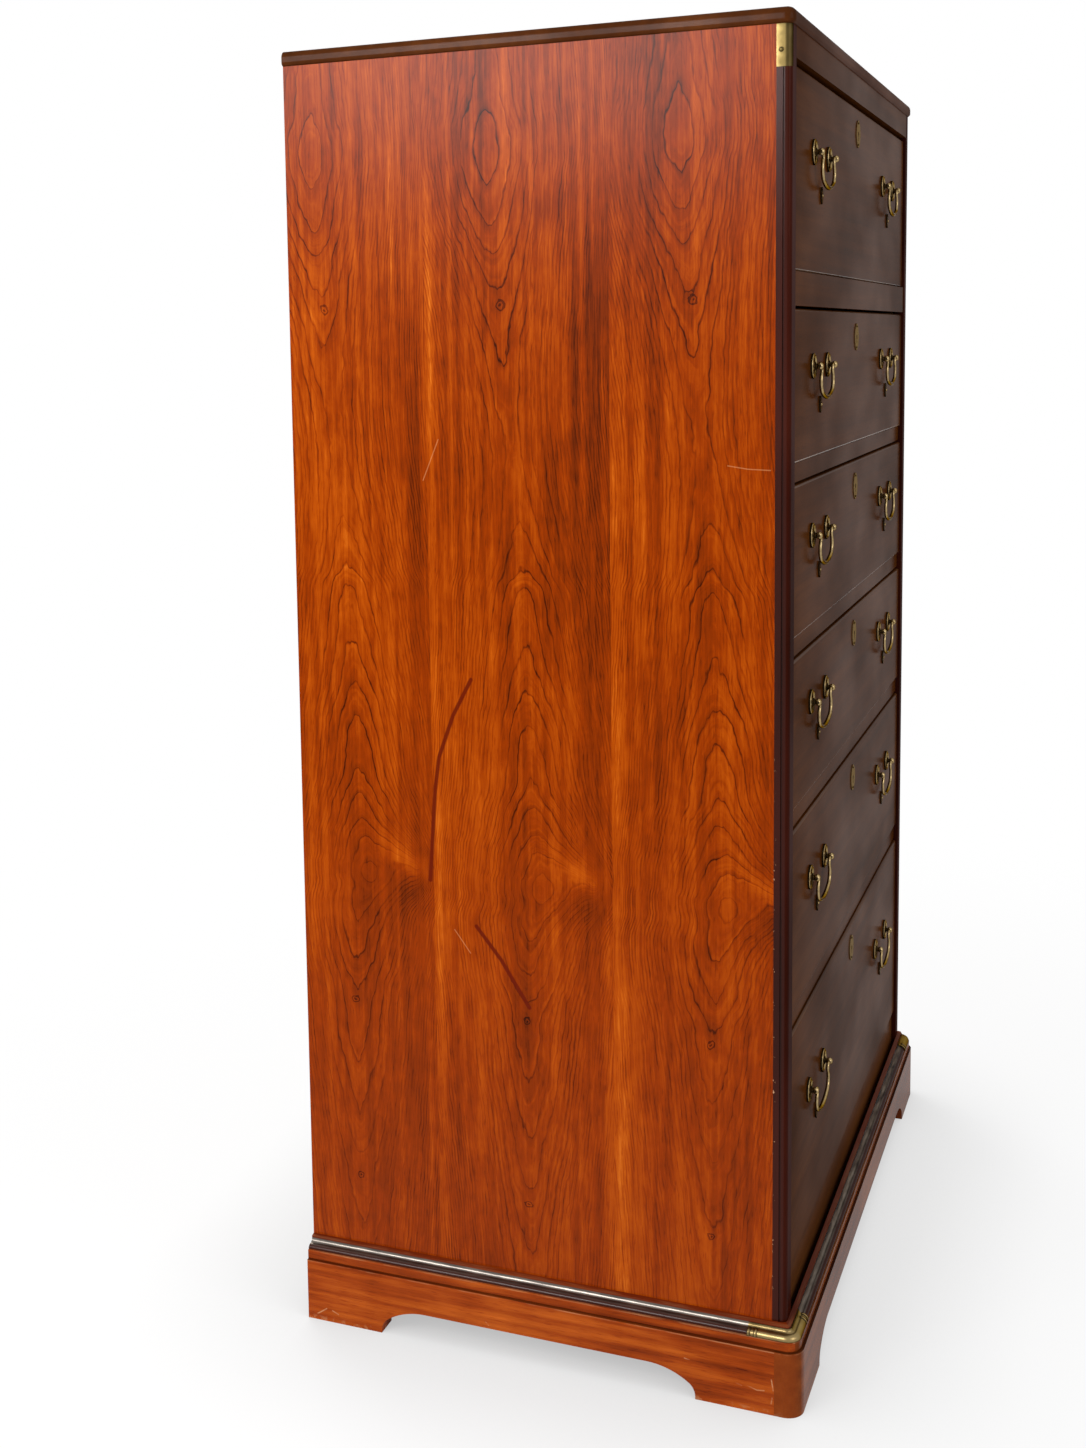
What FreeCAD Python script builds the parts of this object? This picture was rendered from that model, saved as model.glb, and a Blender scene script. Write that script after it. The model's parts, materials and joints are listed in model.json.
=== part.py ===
import FreeCAD, Part
import math
import os
import re
import Sketcher
from FreeCAD import Placement, Rotation, Vector

# Campaign tall chest: six graduated drawers between rounded posts, on a bracket base.
# Millimetres and degrees. +X is the right of the front, +Y the back, +Z up.
# The origin is on the floor, under the middle of the base.

sizes = {
    # Case
    "carcass_width": 800,
    "carcass_depth": 512,
    "side_thickness": 22,
    "post_radius": 6,
    "post_flat": 8,
    "post_quirk_width": 2,
    "post_quirk_depth": 1.5,
    "back_thickness": 6,
    "back_rebate": 10,
    "top_thickness": 15,
    "top_overhang": 3,
    "top_upper_round": 7,
    "top_lower_round": 4,
    # Rails and what carries the drawers
    "bottom_rail_height": 58,
    "rail_height": 18.5,
    "wide_rail_height": 32,
    "frieze_height": 28,
    "frieze_thickness": 22,
    "rail_depth": 60,
    "rail_recess": 6,
    "wide_rail_recess": 1,
    "runner_width": 40,
    "dust_panel_thickness": 5,
    # Drawers
    "drawer_1_height": 188,
    "drawer_2_height": 146,
    "drawer_3_height": 147,
    "drawer_4_height": 147,
    "drawer_5_height": 181,
    "drawer_6_height": 241,
    "drawer_gap_below": 0.5,
    "drawer_gap_above": 2.5,
    "top_drawer_gap": 4,
    "drawer_side_gap": 1.5,
    "drawer_recess": 3,
    "drawer_front_thickness": 20,
    "drawer_front_round": 3,
    "drawer_box_length": 460,
    "drawer_side_thickness": 12,
    "drawer_back_thickness": 12,
    "drawer_bottom_thickness": 6,
    "drawer_bottom_lift": 10,
    "drawer_groove": 5,
    "groove_clearance": 0.2,
    "drawer_side_drop": 12,
    "runner_clearance": 0.3,
    # Base
    "plinth_height": 66,
    "base_projection": 17.5,
    "base_thickness": 26,
    "foot_length": 86.5,
    "arch_height": 29.5,
    "heel_rise": 3,
    "heel_radius": 16,
    "knee_angle": 35,
    "glue_block_size": 45,
    "glue_block_lift": 6,
    # Base moulding
    "plinth_step": 2.5,
    "fillet_height": 10,
    "quirk_width": 1.5,
    "ogee_radius": 4.5,
    "ledge_edge": 2,
    "ledge_slope": 1,
    # Brass on the case
    "corner_height": 38,
    "corner_flat": 1,
    "corner_thickness": 1.2,
    "cap_length": 36,
    "cap_thickness": 1,
    # Pulls
    "handle_inset": 146.5,
    "handle_height_share": 0.62,
    "bail_span": 82,
    "bail_pin_diameter": 3.2,
    "bail_middle_diameter": 4.8,
    "bail_axis_out": 7.5,
    "bail_pin_length": 2.6,
    "neck_reach": 5.5,
    "neck_radius": 4.5,
    "neck_turn": 130,
    "shoulder_radius": 12,
    "bow_half_angle": 22,
    "running_clearance": 0.05,
    "rosette_radius": 12.5,
    "rosette_rim": 2,
    "rosette_bead": 2.2,
    "rosette_bead_radius": 1.3,
    "rosette_dish": 1.1,
    "rosette_collar": 4.2,
    "rosette_height": 3.2,
    "shank_radius": 2.5,
    "shank_clearance": 0.2,
    "shank_end": 6,
    "ball_radius": 3.6,
    "strike_drop": 39,
    "strike_half_height": 8.5,
    "strike_half_width": 4.4,
    "strike_thickness": 1.8,
    "strike_pin_radius": 1.8,
    "strike_pin_height": 1.2,
    # Keyhole plates
    "plate_drop": 28,
    "plate_half_height": 15,
    "plate_half_width": 13,
    "plate_thickness": 1,
    "keyhole_radius": 2.5,
    "keyhole_slot": 2,
    "keyhole_length": 7,
    "keyhole_depth": 10,
}

drawer_numbers = (1, 2, 3, 4, 5, 6)
mitre_angle = 45
corner_angle = 90
full_turn = 360
plain_corner = 2  # numbers that place a corner with no arc
tiny = 1e-4

document = FreeCAD.newDocument("CampaignTallChest")
sheet = document.addObject("Spreadsheet::Sheet", "Dimensions")
for row, (alias, size) in enumerate(sizes.items(), start=1):
    sheet.set("A%d" % row, alias)
    sheet.set("B%d" % row, str(size))
    sheet.setAlias("B%d" % row, alias)
document.recompute()


def bound(words):
    """Turn a sum in plain words into an expression on the sheet."""
    def cell(found):
        word = found.group()
        return "Dimensions." + word if word in sizes else word
    return re.sub(r"[a-z][a-z_0-9]*", cell, words)


def number(words):
    return float(sheet.evalExpression(bound(words)))


def place(piece, x, y, z):
    for axis, words in zip("xyz", (x, y, z)):
        piece.setExpression("Placement.Base." + axis, bound(words))


def block(label, low, high):
    """A square-edged board between two corners."""
    piece = document.addObject("Part::Box", label)
    for side, below, above in zip(("Length", "Width", "Height"), low, high):
        piece.setExpression(side, bound("(%s) - (%s)" % (above, below)))
    place(piece, *low)
    return piece


def group(label, pieces):
    piece = document.addObject("Part::Compound", label)
    piece.Links = pieces
    return piece


def mirrored(label, source):
    """The right-hand twin of a left-hand piece."""
    piece = document.addObject("Part::Mirroring", label)
    piece.Source = source
    piece.Normal = Vector(1, 0, 0)
    return piece


def new_body(label, x="0", y="0", z="0"):
    body = document.addObject("PartDesign::Body", label)
    place(body, x, y, z)
    return body


def origin_plane(body, role):
    return [feature for feature in body.Origin.OriginFeatures if feature.Role == role][0]


def new_sketch(body, role, lift="0"):
    """A sketch on one of the body's own planes, lifted along its normal."""
    sketch = body.newObject("Sketcher::SketchObject", body.Name + "_sketch")
    sketch.AttachmentSupport = [(origin_plane(body, role), "")]
    sketch.MapMode = "FlatFace"
    sketch.setExpression("AttachmentOffset.Base.z", bound(lift))
    return sketch


def constrain(sketch, constraint, words):
    index = sketch.addConstraint(constraint)
    sketch.setExpression("Constraints[%d]" % index, bound(words))


def fix_point(sketch, geometry, position, x, y):
    """Hold a point at a place counted from the sketch's origin."""
    for kind, words, axis in (("DistanceX", x, -2), ("DistanceY", y, -1)):
        if words == "0":
            sketch.addConstraint(Sketcher.Constraint("PointOnObject", geometry, position, axis))
        else:
            distance = Sketcher.Constraint(kind, -1, 1, geometry, position, number(words))
            constrain(sketch, distance, words)


def arc_between(start, end, radius, turn):
    """The arc under half a circle that turns left or right from start to end."""
    chord = end - start
    across = Vector(-chord.y, chord.x, 0).normalize()
    if turn == "right":
        across = across.negative()
    rise = math.sqrt(max(radius ** 2 - (chord.Length / 2) ** 2, 0))
    centre = start + chord / 2 + across * rise
    first, last = (start, end) if turn == "left" else (end, start)
    angles = [math.atan2(point.y - centre.y, point.x - centre.x) for point in (first, last)]
    return Part.ArcOfCircle(Part.Circle(centre, Vector(0, 0, 1), radius), *angles)


def draw(sketch, path, closed=True):
    """Draw lines and arcs from corner to corner.

    A corner is (x, y), or (x, y, radius, turn) where an arc leaves it.
    """
    points = [Vector(number(corner[0]), number(corner[1]), 0) for corner in path]
    count = len(path) if closed else len(path) - 1
    ends = []
    for index in range(count):
        corner = path[index]
        start = points[index]
        end = points[(index + 1) % len(path)]
        if len(corner) == plain_corner:
            geometry = sketch.addGeometry(Part.LineSegment(start, end), False)
            ends.append((geometry, 1, 2))
        else:
            arc = arc_between(start, end, number(corner[2]), corner[3])
            geometry = sketch.addGeometry(arc, False)
            ends.append((geometry, 1, 2) if corner[3] == "left" else (geometry, 2, 1))
    for index in range(count if closed else count - 1):
        geometry, _, last = ends[index]
        following, first, _ = ends[(index + 1) % count]
        sketch.addConstraint(Sketcher.Constraint("Coincident", geometry, last, following, first))
    for (geometry, first, _), corner in zip(ends, path):
        fix_point(sketch, geometry, first, corner[0], corner[1])
        if len(corner) > plain_corner:
            size = Sketcher.Constraint("Radius", geometry, number(corner[2]))
            constrain(sketch, size, corner[2])
    if not closed:
        fix_point(sketch, ends[-1][0], ends[-1][2], path[-1][0], path[-1][1])


def draw_circle(sketch, x, y, radius):
    centre = Vector(number(x), number(y), 0)
    circle = Part.Circle(centre, Vector(0, 0, 1), number(radius))
    geometry = sketch.addGeometry(circle, False)
    fix_point(sketch, geometry, 3, x, y)
    constrain(sketch, Sketcher.Constraint("Radius", geometry, number(radius)), radius)


def draw_keyhole(sketch, x, y):
    """A round hole with a slot below it, about the given centre."""
    left = "%s - keyhole_slot/2" % x
    right = "%s + keyhole_slot/2" % x
    neck = "%s - sqrt(keyhole_radius^2 - keyhole_slot^2/4)" % y
    foot = "%s - keyhole_length" % y
    crown = "%s + keyhole_radius" % y
    draw(sketch, [
        (left, foot),
        (right, foot),
        (right, neck, "keyhole_radius", "left"),
        (x, crown, "keyhole_radius", "left"),
        (left, neck),
    ])


def pad(body, sketch, length, backwards=False):
    feature = body.newObject("PartDesign::Pad", sketch.Name + "_pad")
    feature.Profile = sketch
    feature.setExpression("Length", bound(length))
    feature.Reversed = backwards
    return feature


def revolve(body, sketch, angle, backwards=False):
    """Turn a sketch about its own vertical axis."""
    feature = body.newObject("PartDesign::Revolution", sketch.Name + "_turn")
    feature.Profile = sketch
    feature.ReferenceAxis = (sketch, ["V_Axis"])
    feature.Angle = angle
    feature.Reversed = backwards
    return feature


def cut(body, sketch, length=None, backwards=False):
    """Cut a sketch through the body both ways, or one way to a depth."""
    document.recompute()
    before = body.Shape.Volume
    feature = body.newObject("PartDesign::Pocket", sketch.Name + "_cut")
    feature.Profile = sketch
    if length is None:
        feature.Type = "ThroughAll"
        feature.SideType = "Symmetric"
    else:
        feature.setExpression("Length", bound(length))
        feature.Reversed = backwards
    document.recompute()
    if body.Shape.Volume > before - tiny:
        raise RuntimeError("nothing was cut from " + body.Label)
    return feature


def round_edges(body, feature, radius, chosen):
    """Fillet the edges of a feature whose two ends pass the test."""
    document.recompute()
    names = []
    for index, edge in enumerate(feature.Shape.Edges, start=1):
        if chosen([vertex.Point for vertex in edge.Vertexes]):
            names.append("Edge%d" % index)
    fillet = body.newObject("PartDesign::Fillet", body.Name + "_round")
    fillet.Base = (feature, names)
    fillet.setExpression("Radius", bound(radius))
    return fillet


def rim(height, back_line):
    """Pick the edges at a height, all but the one along the back."""
    def on_rim(ends):
        at_back = all(abs(point.y - number(back_line)) < tiny for point in ends)
        return not at_back and all(abs(point.z - number(height)) < tiny for point in ends)
    return on_rim


def front_edges(ends):
    """Pick the edges of a drawer front's face."""
    return all(abs(point.y) < tiny for point in ends)


def negative(words):
    return "-(%s)" % words


# Shared places
half = "carcass_width/2"
front = "(base_projection - carcass_depth)/2"
back = "(base_projection + carcass_depth)/2"
back_inside = back + " - back_thickness"
opening_half = "(carcass_width/2 - side_thickness)"
runner_half = "(carcass_width/2 - side_thickness - runner_width)"
post_depth = "(post_radius + post_flat)"
rails_front = front + " + rail_recess"
rails_back = rails_front + " + rail_depth"
drawer_half = "(carcass_width/2 - side_thickness - drawer_side_gap)"
inner_half = "(%s - drawer_side_thickness)" % drawer_half
panel_half = "(%s + drawer_groove)" % inner_half
pull_middle = "(%s - handle_inset)" % drawer_half
drawer_face = front + " + drawer_recess"
box_front = drawer_face + " + drawer_front_thickness"
box_back = box_front + " + drawer_box_length"
base_inset = "(base_thickness - base_projection)"

# Heights of the drawer openings, worked up from the plinth
opening_floor = {}
opening_top = {}
level = "plinth_height + bottom_rail_height"
for drawer in reversed(drawer_numbers):
    opening_floor[drawer] = level
    gap_above = "top_drawer_gap" if drawer == 1 else "drawer_gap_above"
    level += " + drawer_gap_below + drawer_%d_height + %s" % (drawer, gap_above)
    opening_top[drawer] = level
    level += " + " + {1: "frieze_height", 2: "wide_rail_height"}.get(drawer, "rail_height")
case_top = level
case_height = case_top + " - plinth_height"


def side_panel():
    body = new_body("side_panel_left", negative(half), front + " + " + post_depth, "plinth_height")
    depth = "carcass_depth - " + post_depth
    plan = new_sketch(body, "XY_Plane")
    draw(plan, [
        ("0", "0"),
        ("side_thickness", "0"),
        ("side_thickness", depth + " - back_thickness"),
        ("side_thickness - back_rebate", depth + " - back_thickness"),
        ("side_thickness - back_rebate", depth),
        ("0", depth),
    ])
    pad(body, plan, case_height)
    return body


def corner_band(sketch):
    """The brass corner in plan, on the side, the round and the front of the post."""
    front_leg = "post_radius + corner_flat"
    draw(sketch, [
        ("0", post_depth),
        ("0", "post_radius", "post_radius", "left"),
        ("post_radius", "0"),
        (front_leg, "0"),
        (front_leg, "corner_thickness"),
        ("post_radius", "corner_thickness", "post_radius - corner_thickness", "right"),
        ("corner_thickness", "post_radius"),
        ("corner_thickness", post_depth),
    ])


def front_post():
    """A post with a round front corner, a quirk beside it and a recess for the brass corner."""
    body = new_body("front_post_left", negative(half), front, "plinth_height")
    plan = new_sketch(body, "XY_Plane")
    draw(plan, [
        ("0", "post_radius", "post_radius", "left"),
        ("post_radius", "0"),
        ("side_thickness", "0"),
        ("side_thickness", post_depth),
        ("0", post_depth),
    ])
    pad(body, plan, case_height)
    recess = new_sketch(body, "XY_Plane", case_height)
    corner_band(recess)
    cut(body, recess, "corner_height")
    quirk = new_sketch(body, "XY_Plane")
    draw(quirk, [
        ("0", "post_radius"),
        ("post_quirk_depth", "post_radius"),
        ("post_quirk_depth", "post_radius + post_quirk_width"),
        ("0", "post_radius + post_quirk_width"),
    ])
    cut(body, quirk, case_height + " - corner_height", backwards=True)
    return body


def top_corner():
    body = new_body("top_corner_left", negative(half), front, case_top + " - corner_height")
    plan = new_sketch(body, "XY_Plane")
    corner_band(plan)
    pad(body, plan, "corner_height")
    return body


def top_board():
    body = new_body("top_board", "0", front + " - top_overhang", case_top)
    reach = "(carcass_width/2 + top_overhang)"
    depth = "carcass_depth + top_overhang"
    radius = "(post_radius + top_overhang)"
    plan = new_sketch(body, "XY_Plane")
    draw(plan, [
        (negative(reach), radius, radius, "left"),
        ("%s - %s" % (radius, reach), "0"),
        ("%s - %s" % (reach, radius), "0", radius, "left"),
        (reach, radius),
        (reach, depth),
        (negative(reach), depth),
    ])
    board = pad(body, plan, "top_thickness")
    upper = round_edges(body, board, "top_upper_round", rim("top_thickness", depth))
    round_edges(body, upper, "top_lower_round", rim("0", depth))
    return body


def rail(label, face, rear, bottom, top):
    return block(label, (negative(opening_half), face, bottom), (opening_half, rear, top))


def case_rails():
    rails = [
        rail("frieze_rail", front, front + " + frieze_thickness", opening_top[1], case_top),
        rail("wide_rail", front + " + wide_rail_recess", rails_back,
             opening_top[2], opening_floor[1]),
        rail("bottom_rail", rails_front, rails_back, "plinth_height", opening_floor[6]),
    ]
    for number_below in (3, 4, 5, 6):
        label = "rail_below_drawer_%d" % (number_below - 1)
        rails.append(rail(label, rails_front, rails_back,
                          opening_top[number_below], opening_floor[number_below - 1]))
    return rails


def side_strips(label, start, bottom, top):
    """A strip along each side of the case, from a rail to the back."""
    left = block(label + "_left", (negative(opening_half), start, bottom),
                 (negative(runner_half), back_inside, top))
    right = block(label + "_right", (runner_half, start, bottom),
                  (opening_half, back_inside, top))
    return [left, right]


def runners():
    strips = []
    for drawer in drawer_numbers:
        top = opening_floor[drawer]
        strips += side_strips("runner_%d" % drawer, rails_back, top + " - rail_height", top)
    return group("drawer_runners", strips)


def kickers():
    start = front + " + frieze_thickness"
    return group("top_kickers", side_strips("kicker", start, opening_top[1], case_top))


def dust_panels():
    panels = []
    for drawer in drawer_numbers:
        bottom = opening_floor[drawer] + " - rail_height/2 - dust_panel_thickness/2"
        low = (negative(runner_half), rails_back, bottom)
        high = (runner_half, back_inside, bottom + " + dust_panel_thickness")
        panels.append(block("dust_panel_%d" % drawer, low, high))
    return group("dust_panels", panels)


def back_panel():
    reach = "(%s + back_rebate)" % opening_half
    low = (negative(reach), back_inside, "plinth_height")
    return block("back_panel", low, (reach, back, case_top))


def draw_arch(sketch, start, end):
    """The gap between two bracket feet: a small heel curve, then a long sweep."""
    sweep = "((arch_height - heel_rise - heel_radius*cos(knee_angle))/(1 - cos(knee_angle)))"
    heel_run = "heel_radius*(1 - sin(knee_angle))"
    knee = "heel_rise + heel_radius*cos(knee_angle)"
    run = "%s + %s*sin(knee_angle)" % (heel_run, sweep)
    draw(sketch, [
        (start, "0"),
        (start, "heel_rise", "heel_radius", "right"),
        ("%s + %s" % (start, heel_run), knee, sweep, "right"),
        ("%s + %s" % (start, run), "arch_height"),
        ("%s - (%s)" % (end, run), "arch_height", sweep, "right"),
        ("%s - %s" % (end, heel_run), knee, "heel_radius", "right"),
        (end, "heel_rise"),
        (end, "0"),
    ])


def base_side():
    """A bracket side, butted against the back of the base front."""
    body = new_body("base_side_left", negative(half), front)
    plan = new_sketch(body, "XY_Plane")
    draw(plan, [
        ("-base_projection", base_inset),
        (base_inset, base_inset),
        (base_inset, "carcass_depth"),
        ("-base_projection", "carcass_depth"),
    ])
    pad(body, plan, "plinth_height")
    arch = new_sketch(body, "YZ_Plane")
    draw_arch(arch, "foot_length", "carcass_depth - foot_length")
    cut(body, arch)
    return body


def base_front():
    """The bracket front, which runs through to both sides and has round corners."""
    body = new_body("base_front", "0", front)
    reach = "(%s + base_projection)" % half
    foot = "(%s - foot_length)" % half
    plan = new_sketch(body, "XY_Plane")
    draw(plan, [
        (negative(reach), "0", "base_projection", "left"),
        (negative(half), "-base_projection"),
        (half, "-base_projection", "base_projection", "left"),
        (reach, "0"),
        (reach, base_inset),
        (negative(reach), base_inset),
    ])
    pad(body, plan, "plinth_height")
    arch = new_sketch(body, "XZ_Plane")
    draw_arch(arch, negative(foot), foot)
    cut(body, arch)
    return body


def base_back():
    reach = "(%s - %s)" % (half, base_inset)
    low = (negative(reach), back + " - base_thickness", "arch_height")
    return block("base_back", low, (reach, back, "plinth_height"))


def glue_blocks():
    outer = "(%s - %s)" % (half, base_inset)
    inner = "(%s - glue_block_size)" % outer
    front_start = "%s + %s" % (front, base_inset)
    back_start = back + " - base_thickness - glue_block_size"
    blocks = []
    for side, left, right in (("left", negative(outer), negative(inner)), ("right", inner, outer)):
        for end, start in (("front", front_start), ("back", back_start)):
            low = (left, start, "glue_block_lift")
            high = (right, start + " + glue_block_size", "plinth_height")
            blocks.append(block("glue_block_%s_%s" % (end, side), low, high))
    return group("glue_blocks", blocks)


# Base moulding section, outwards from the case and up from the plinth
fillet_out = "(base_projection - plinth_step)"
ogee_out = "(base_projection - plinth_step - quirk_width)"
ogee_middle = "(base_projection - plinth_step - quirk_width - ogee_radius)"
ledge = "(base_projection - plinth_step - quirk_width - 2*ogee_radius)"
ogee_crest = "(fillet_height + ogee_radius)"
ogee_top = "(fillet_height + 2*ogee_radius)"
ledge_top = ogee_top + " + ledge_edge + ledge_slope"

# Where the mitre meets the round of the post
post_mitre = "post_radius*(1 - cos(%d))" % mitre_angle


def moulding_section(sketch):
    draw(sketch, [
        ("0", "0"),
        ("-" + fillet_out, "0"),
        ("-" + fillet_out, "fillet_height"),
        ("-" + ogee_out, "fillet_height", "ogee_radius", "right"),
        ("-" + ogee_middle, ogee_crest, "ogee_radius", "left"),
        ("-" + ledge, ogee_top),
        ("-" + ledge, ogee_top + " + ledge_edge"),
        ("0", ledge_top),
    ])


def cap_section(sketch):
    """A skin over the ogee."""
    draw(sketch, [
        ("-" + ogee_out, "fillet_height", "ogee_radius", "right"),
        ("-" + ogee_middle, ogee_crest, "ogee_radius", "left"),
        ("-" + ledge, ogee_top),
        ("-%s - cap_thickness" % ledge, ogee_top, "ogee_radius - cap_thickness", "right"),
        ("-" + ogee_middle, ogee_crest + " + cap_thickness", "ogee_radius + cap_thickness", "left"),
        ("-%s - cap_thickness" % ogee_out, "fillet_height"),
    ])


def moulding_side():
    body = new_body("base_moulding_left", negative(half), front, "plinth_height")
    section = new_sketch(body, "XZ_Plane")
    moulding_section(section)
    pad(body, section, "carcass_depth", backwards=True)
    revolve(body, section, mitre_angle)
    infill = new_sketch(body, "XY_Plane")
    draw(infill, [
        ("0", "0"),
        (post_mitre, post_mitre, "post_radius", "right"),
        ("0", "post_radius"),
    ])
    pad(body, infill, ledge_top)
    return body


def moulding_front():
    body = new_body("base_moulding_front", "0", front, "plinth_height")
    left_end = new_sketch(body, "YZ_Plane", negative(half))
    moulding_section(left_end)
    pad(body, left_end, "carcass_width")
    revolve(body, left_end, mitre_angle, backwards=True)
    right_end = new_sketch(body, "YZ_Plane", half)
    moulding_section(right_end)
    revolve(body, right_end, mitre_angle)
    infill = new_sketch(body, "XY_Plane")
    draw(infill, [
        (negative(half), "0"),
        ("post_radius - " + half, "0", "post_radius", "right"),
        ("%s - %s" % (post_mitre, half), post_mitre),
    ])
    draw(infill, [
        (half, "0"),
        ("%s - %s" % (half, post_mitre), post_mitre, "post_radius", "right"),
        (half + " - post_radius", "0"),
    ])
    pad(body, infill, ledge_top)
    return body


def base_cap():
    body = new_body("base_cap_left", negative(half), front, "plinth_height")
    side_leg = new_sketch(body, "XZ_Plane")
    cap_section(side_leg)
    pad(body, side_leg, "cap_length", backwards=True)
    revolve(body, side_leg, corner_angle)
    front_leg = new_sketch(body, "YZ_Plane")
    cap_section(front_leg)
    pad(body, front_leg, "cap_length")
    return body


def rosette():
    """A round backing plate, dished between its beaded rim and the collar of the post."""
    body = new_body("rosette")
    section = new_sketch(body, "XZ_Plane")
    bore = "shank_radius + shank_clearance"
    rim_inside = "rosette_radius - rosette_bead"
    dish_half = "((%s - rosette_collar)/2)" % rim_inside
    dish_radius = "(%s^2 + rosette_dish^2)/(2*rosette_dish)" % dish_half
    draw(section, [
        (bore, "0"),
        ("rosette_radius", "0"),
        ("rosette_radius", "rosette_rim", "rosette_bead_radius", "left"),
        (rim_inside, "rosette_rim", dish_radius, "right"),
        ("rosette_collar", "rosette_rim"),
        ("rosette_collar", "rosette_height"),
        (bore, "rosette_height"),
    ])
    revolve(body, section, full_turn)
    return body


def pull_post():
    """A post with a ball end, bored across for the bail."""
    body = new_body("pull_post")
    section = new_sketch(body, "XZ_Plane")
    foot = "-drawer_front_thickness - shank_end"
    neck = "bail_axis_out - sqrt(ball_radius^2 - shank_radius^2)"
    draw(section, [
        ("0", foot),
        ("shank_radius", foot),
        ("shank_radius", neck, "ball_radius", "left"),
        ("0", "bail_axis_out + ball_radius"),
    ])
    revolve(body, section, full_turn)
    bore = new_sketch(body, "YZ_Plane")
    draw_circle(bore, "0", "bail_axis_out", "bail_pin_diameter/2 + running_clearance")
    cut(body, bore)
    return body


def draw_pointed_oval(sketch, half_height, half_width):
    """Two arcs that meet in a point at the top and at the foot."""
    flank = "(%s^2 + %s^2)/(2*%s)" % (half_height, half_width, half_width)
    draw(sketch, [
        ("0", "-" + half_height, flank, "left"),
        ("0", half_height, flank, "left"),
    ])


def strike_plate():
    """The small plate behind the foot of a bail, held by one domed pin."""
    body = new_body("strike_plate")
    outline = new_sketch(body, "XY_Plane")
    draw_pointed_oval(outline, "strike_half_height", "strike_half_width")
    pad(body, outline, "strike_thickness")
    section = new_sketch(body, "XZ_Plane")
    dome = "(strike_pin_radius^2 + strike_pin_height^2)/(2*strike_pin_height)"
    draw(section, [
        ("0", "0"),
        ("strike_pin_radius", "0"),
        ("strike_pin_radius", "strike_thickness", dome, "left"),
        ("0", "strike_thickness + strike_pin_height"),
    ])
    revolve(body, section, full_turn)
    return body


def keyhole_plate():
    """A pointed oval plate."""
    body = new_body("keyhole_plate")
    outline = new_sketch(body, "XY_Plane")
    draw_pointed_oval(outline, "plate_half_height", "plate_half_width")
    pad(body, outline, "plate_thickness")
    hole = new_sketch(body, "XY_Plane")
    draw_keyhole(hole, "0", "0")
    cut(body, hole)
    return body


def bail():
    """A swan-neck bail, hanging, with its axis through the origin along X.

    Half of it swells from the pin to the middle of the bow, and the other half mirrors it.
    """
    body = new_body("bail")
    neck = "(bail_span/2 - neck_reach)"
    throat_x = "(%s - neck_radius*sin(neck_turn))" % neck
    throat_z = "neck_radius*(cos(neck_turn) - 1)"
    bow_x = "(%s - shoulder_radius*(sin(neck_turn) - sin(bow_half_angle)))" % throat_x
    bow_z = "%s + shoulder_radius*(cos(neck_turn) - cos(bow_half_angle))" % throat_z
    bow_radius = "%s/sin(bow_half_angle)" % bow_x
    bottom = "%s - %s*(1 - cos(bow_half_angle))" % (bow_z, bow_radius)
    path = new_sketch(body, "XZ_Plane")
    draw(path, [
        ("0", bottom, bow_radius, "left"),
        (bow_x, bow_z, "shoulder_radius", "left"),
        (throat_x, throat_z, "neck_radius", "right"),
        (neck, "0"),
    ], closed=False)
    middle = new_sketch(body, "YZ_Plane")
    draw_circle(middle, "0", bottom, "bail_middle_diameter/2")
    pin_end = new_sketch(body, "YZ_Plane", neck)
    draw_circle(pin_end, "0", "0", "bail_pin_diameter/2")
    document.recompute()
    bow = body.newObject("PartDesign::AdditivePipe", "bail_bow")
    bow.Profile = middle
    bow.Spine = path
    bow.Transformation = "Multisection"
    bow.Sections = [(pin_end, [""])]
    document.recompute()
    pin = pad(body, pin_end, "neck_reach + bail_pin_length")
    document.recompute()
    twin = body.newObject("PartDesign::Mirrored", "bail_twin")
    twin.Originals = [bow, pin]
    twin.MirrorPlane = (origin_plane(body, "YZ_Plane"), [""])
    body.Tip = twin
    return body


face_outwards = Rotation(Vector(1, 0, 0), 90)


def copy_of(source, label, x, y, z, rotation=Rotation()):
    link = document.addObject("App::Link", label)
    link.LinkedObject = source
    link.Placement = Placement(Vector(), rotation)
    place(link, x, y, z)
    return link


def drawer_bottom(drawer):
    return opening_floor[drawer] + " + drawer_gap_below"


def pull_height(drawer):
    """Height of the bails' axis above the foot of the drawer front."""
    return "drawer_%d_height*handle_height_share" % drawer


def plate_height(drawer):
    """Height of the keyhole above the foot of the drawer front."""
    return "drawer_%d_height - plate_drop" % drawer


def post_places():
    places = []
    for side in ("-", ""):
        for end in ("- bail_span/2", "+ bail_span/2"):
            places.append("%s%s %s" % (side, pull_middle, end))
    return places


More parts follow.
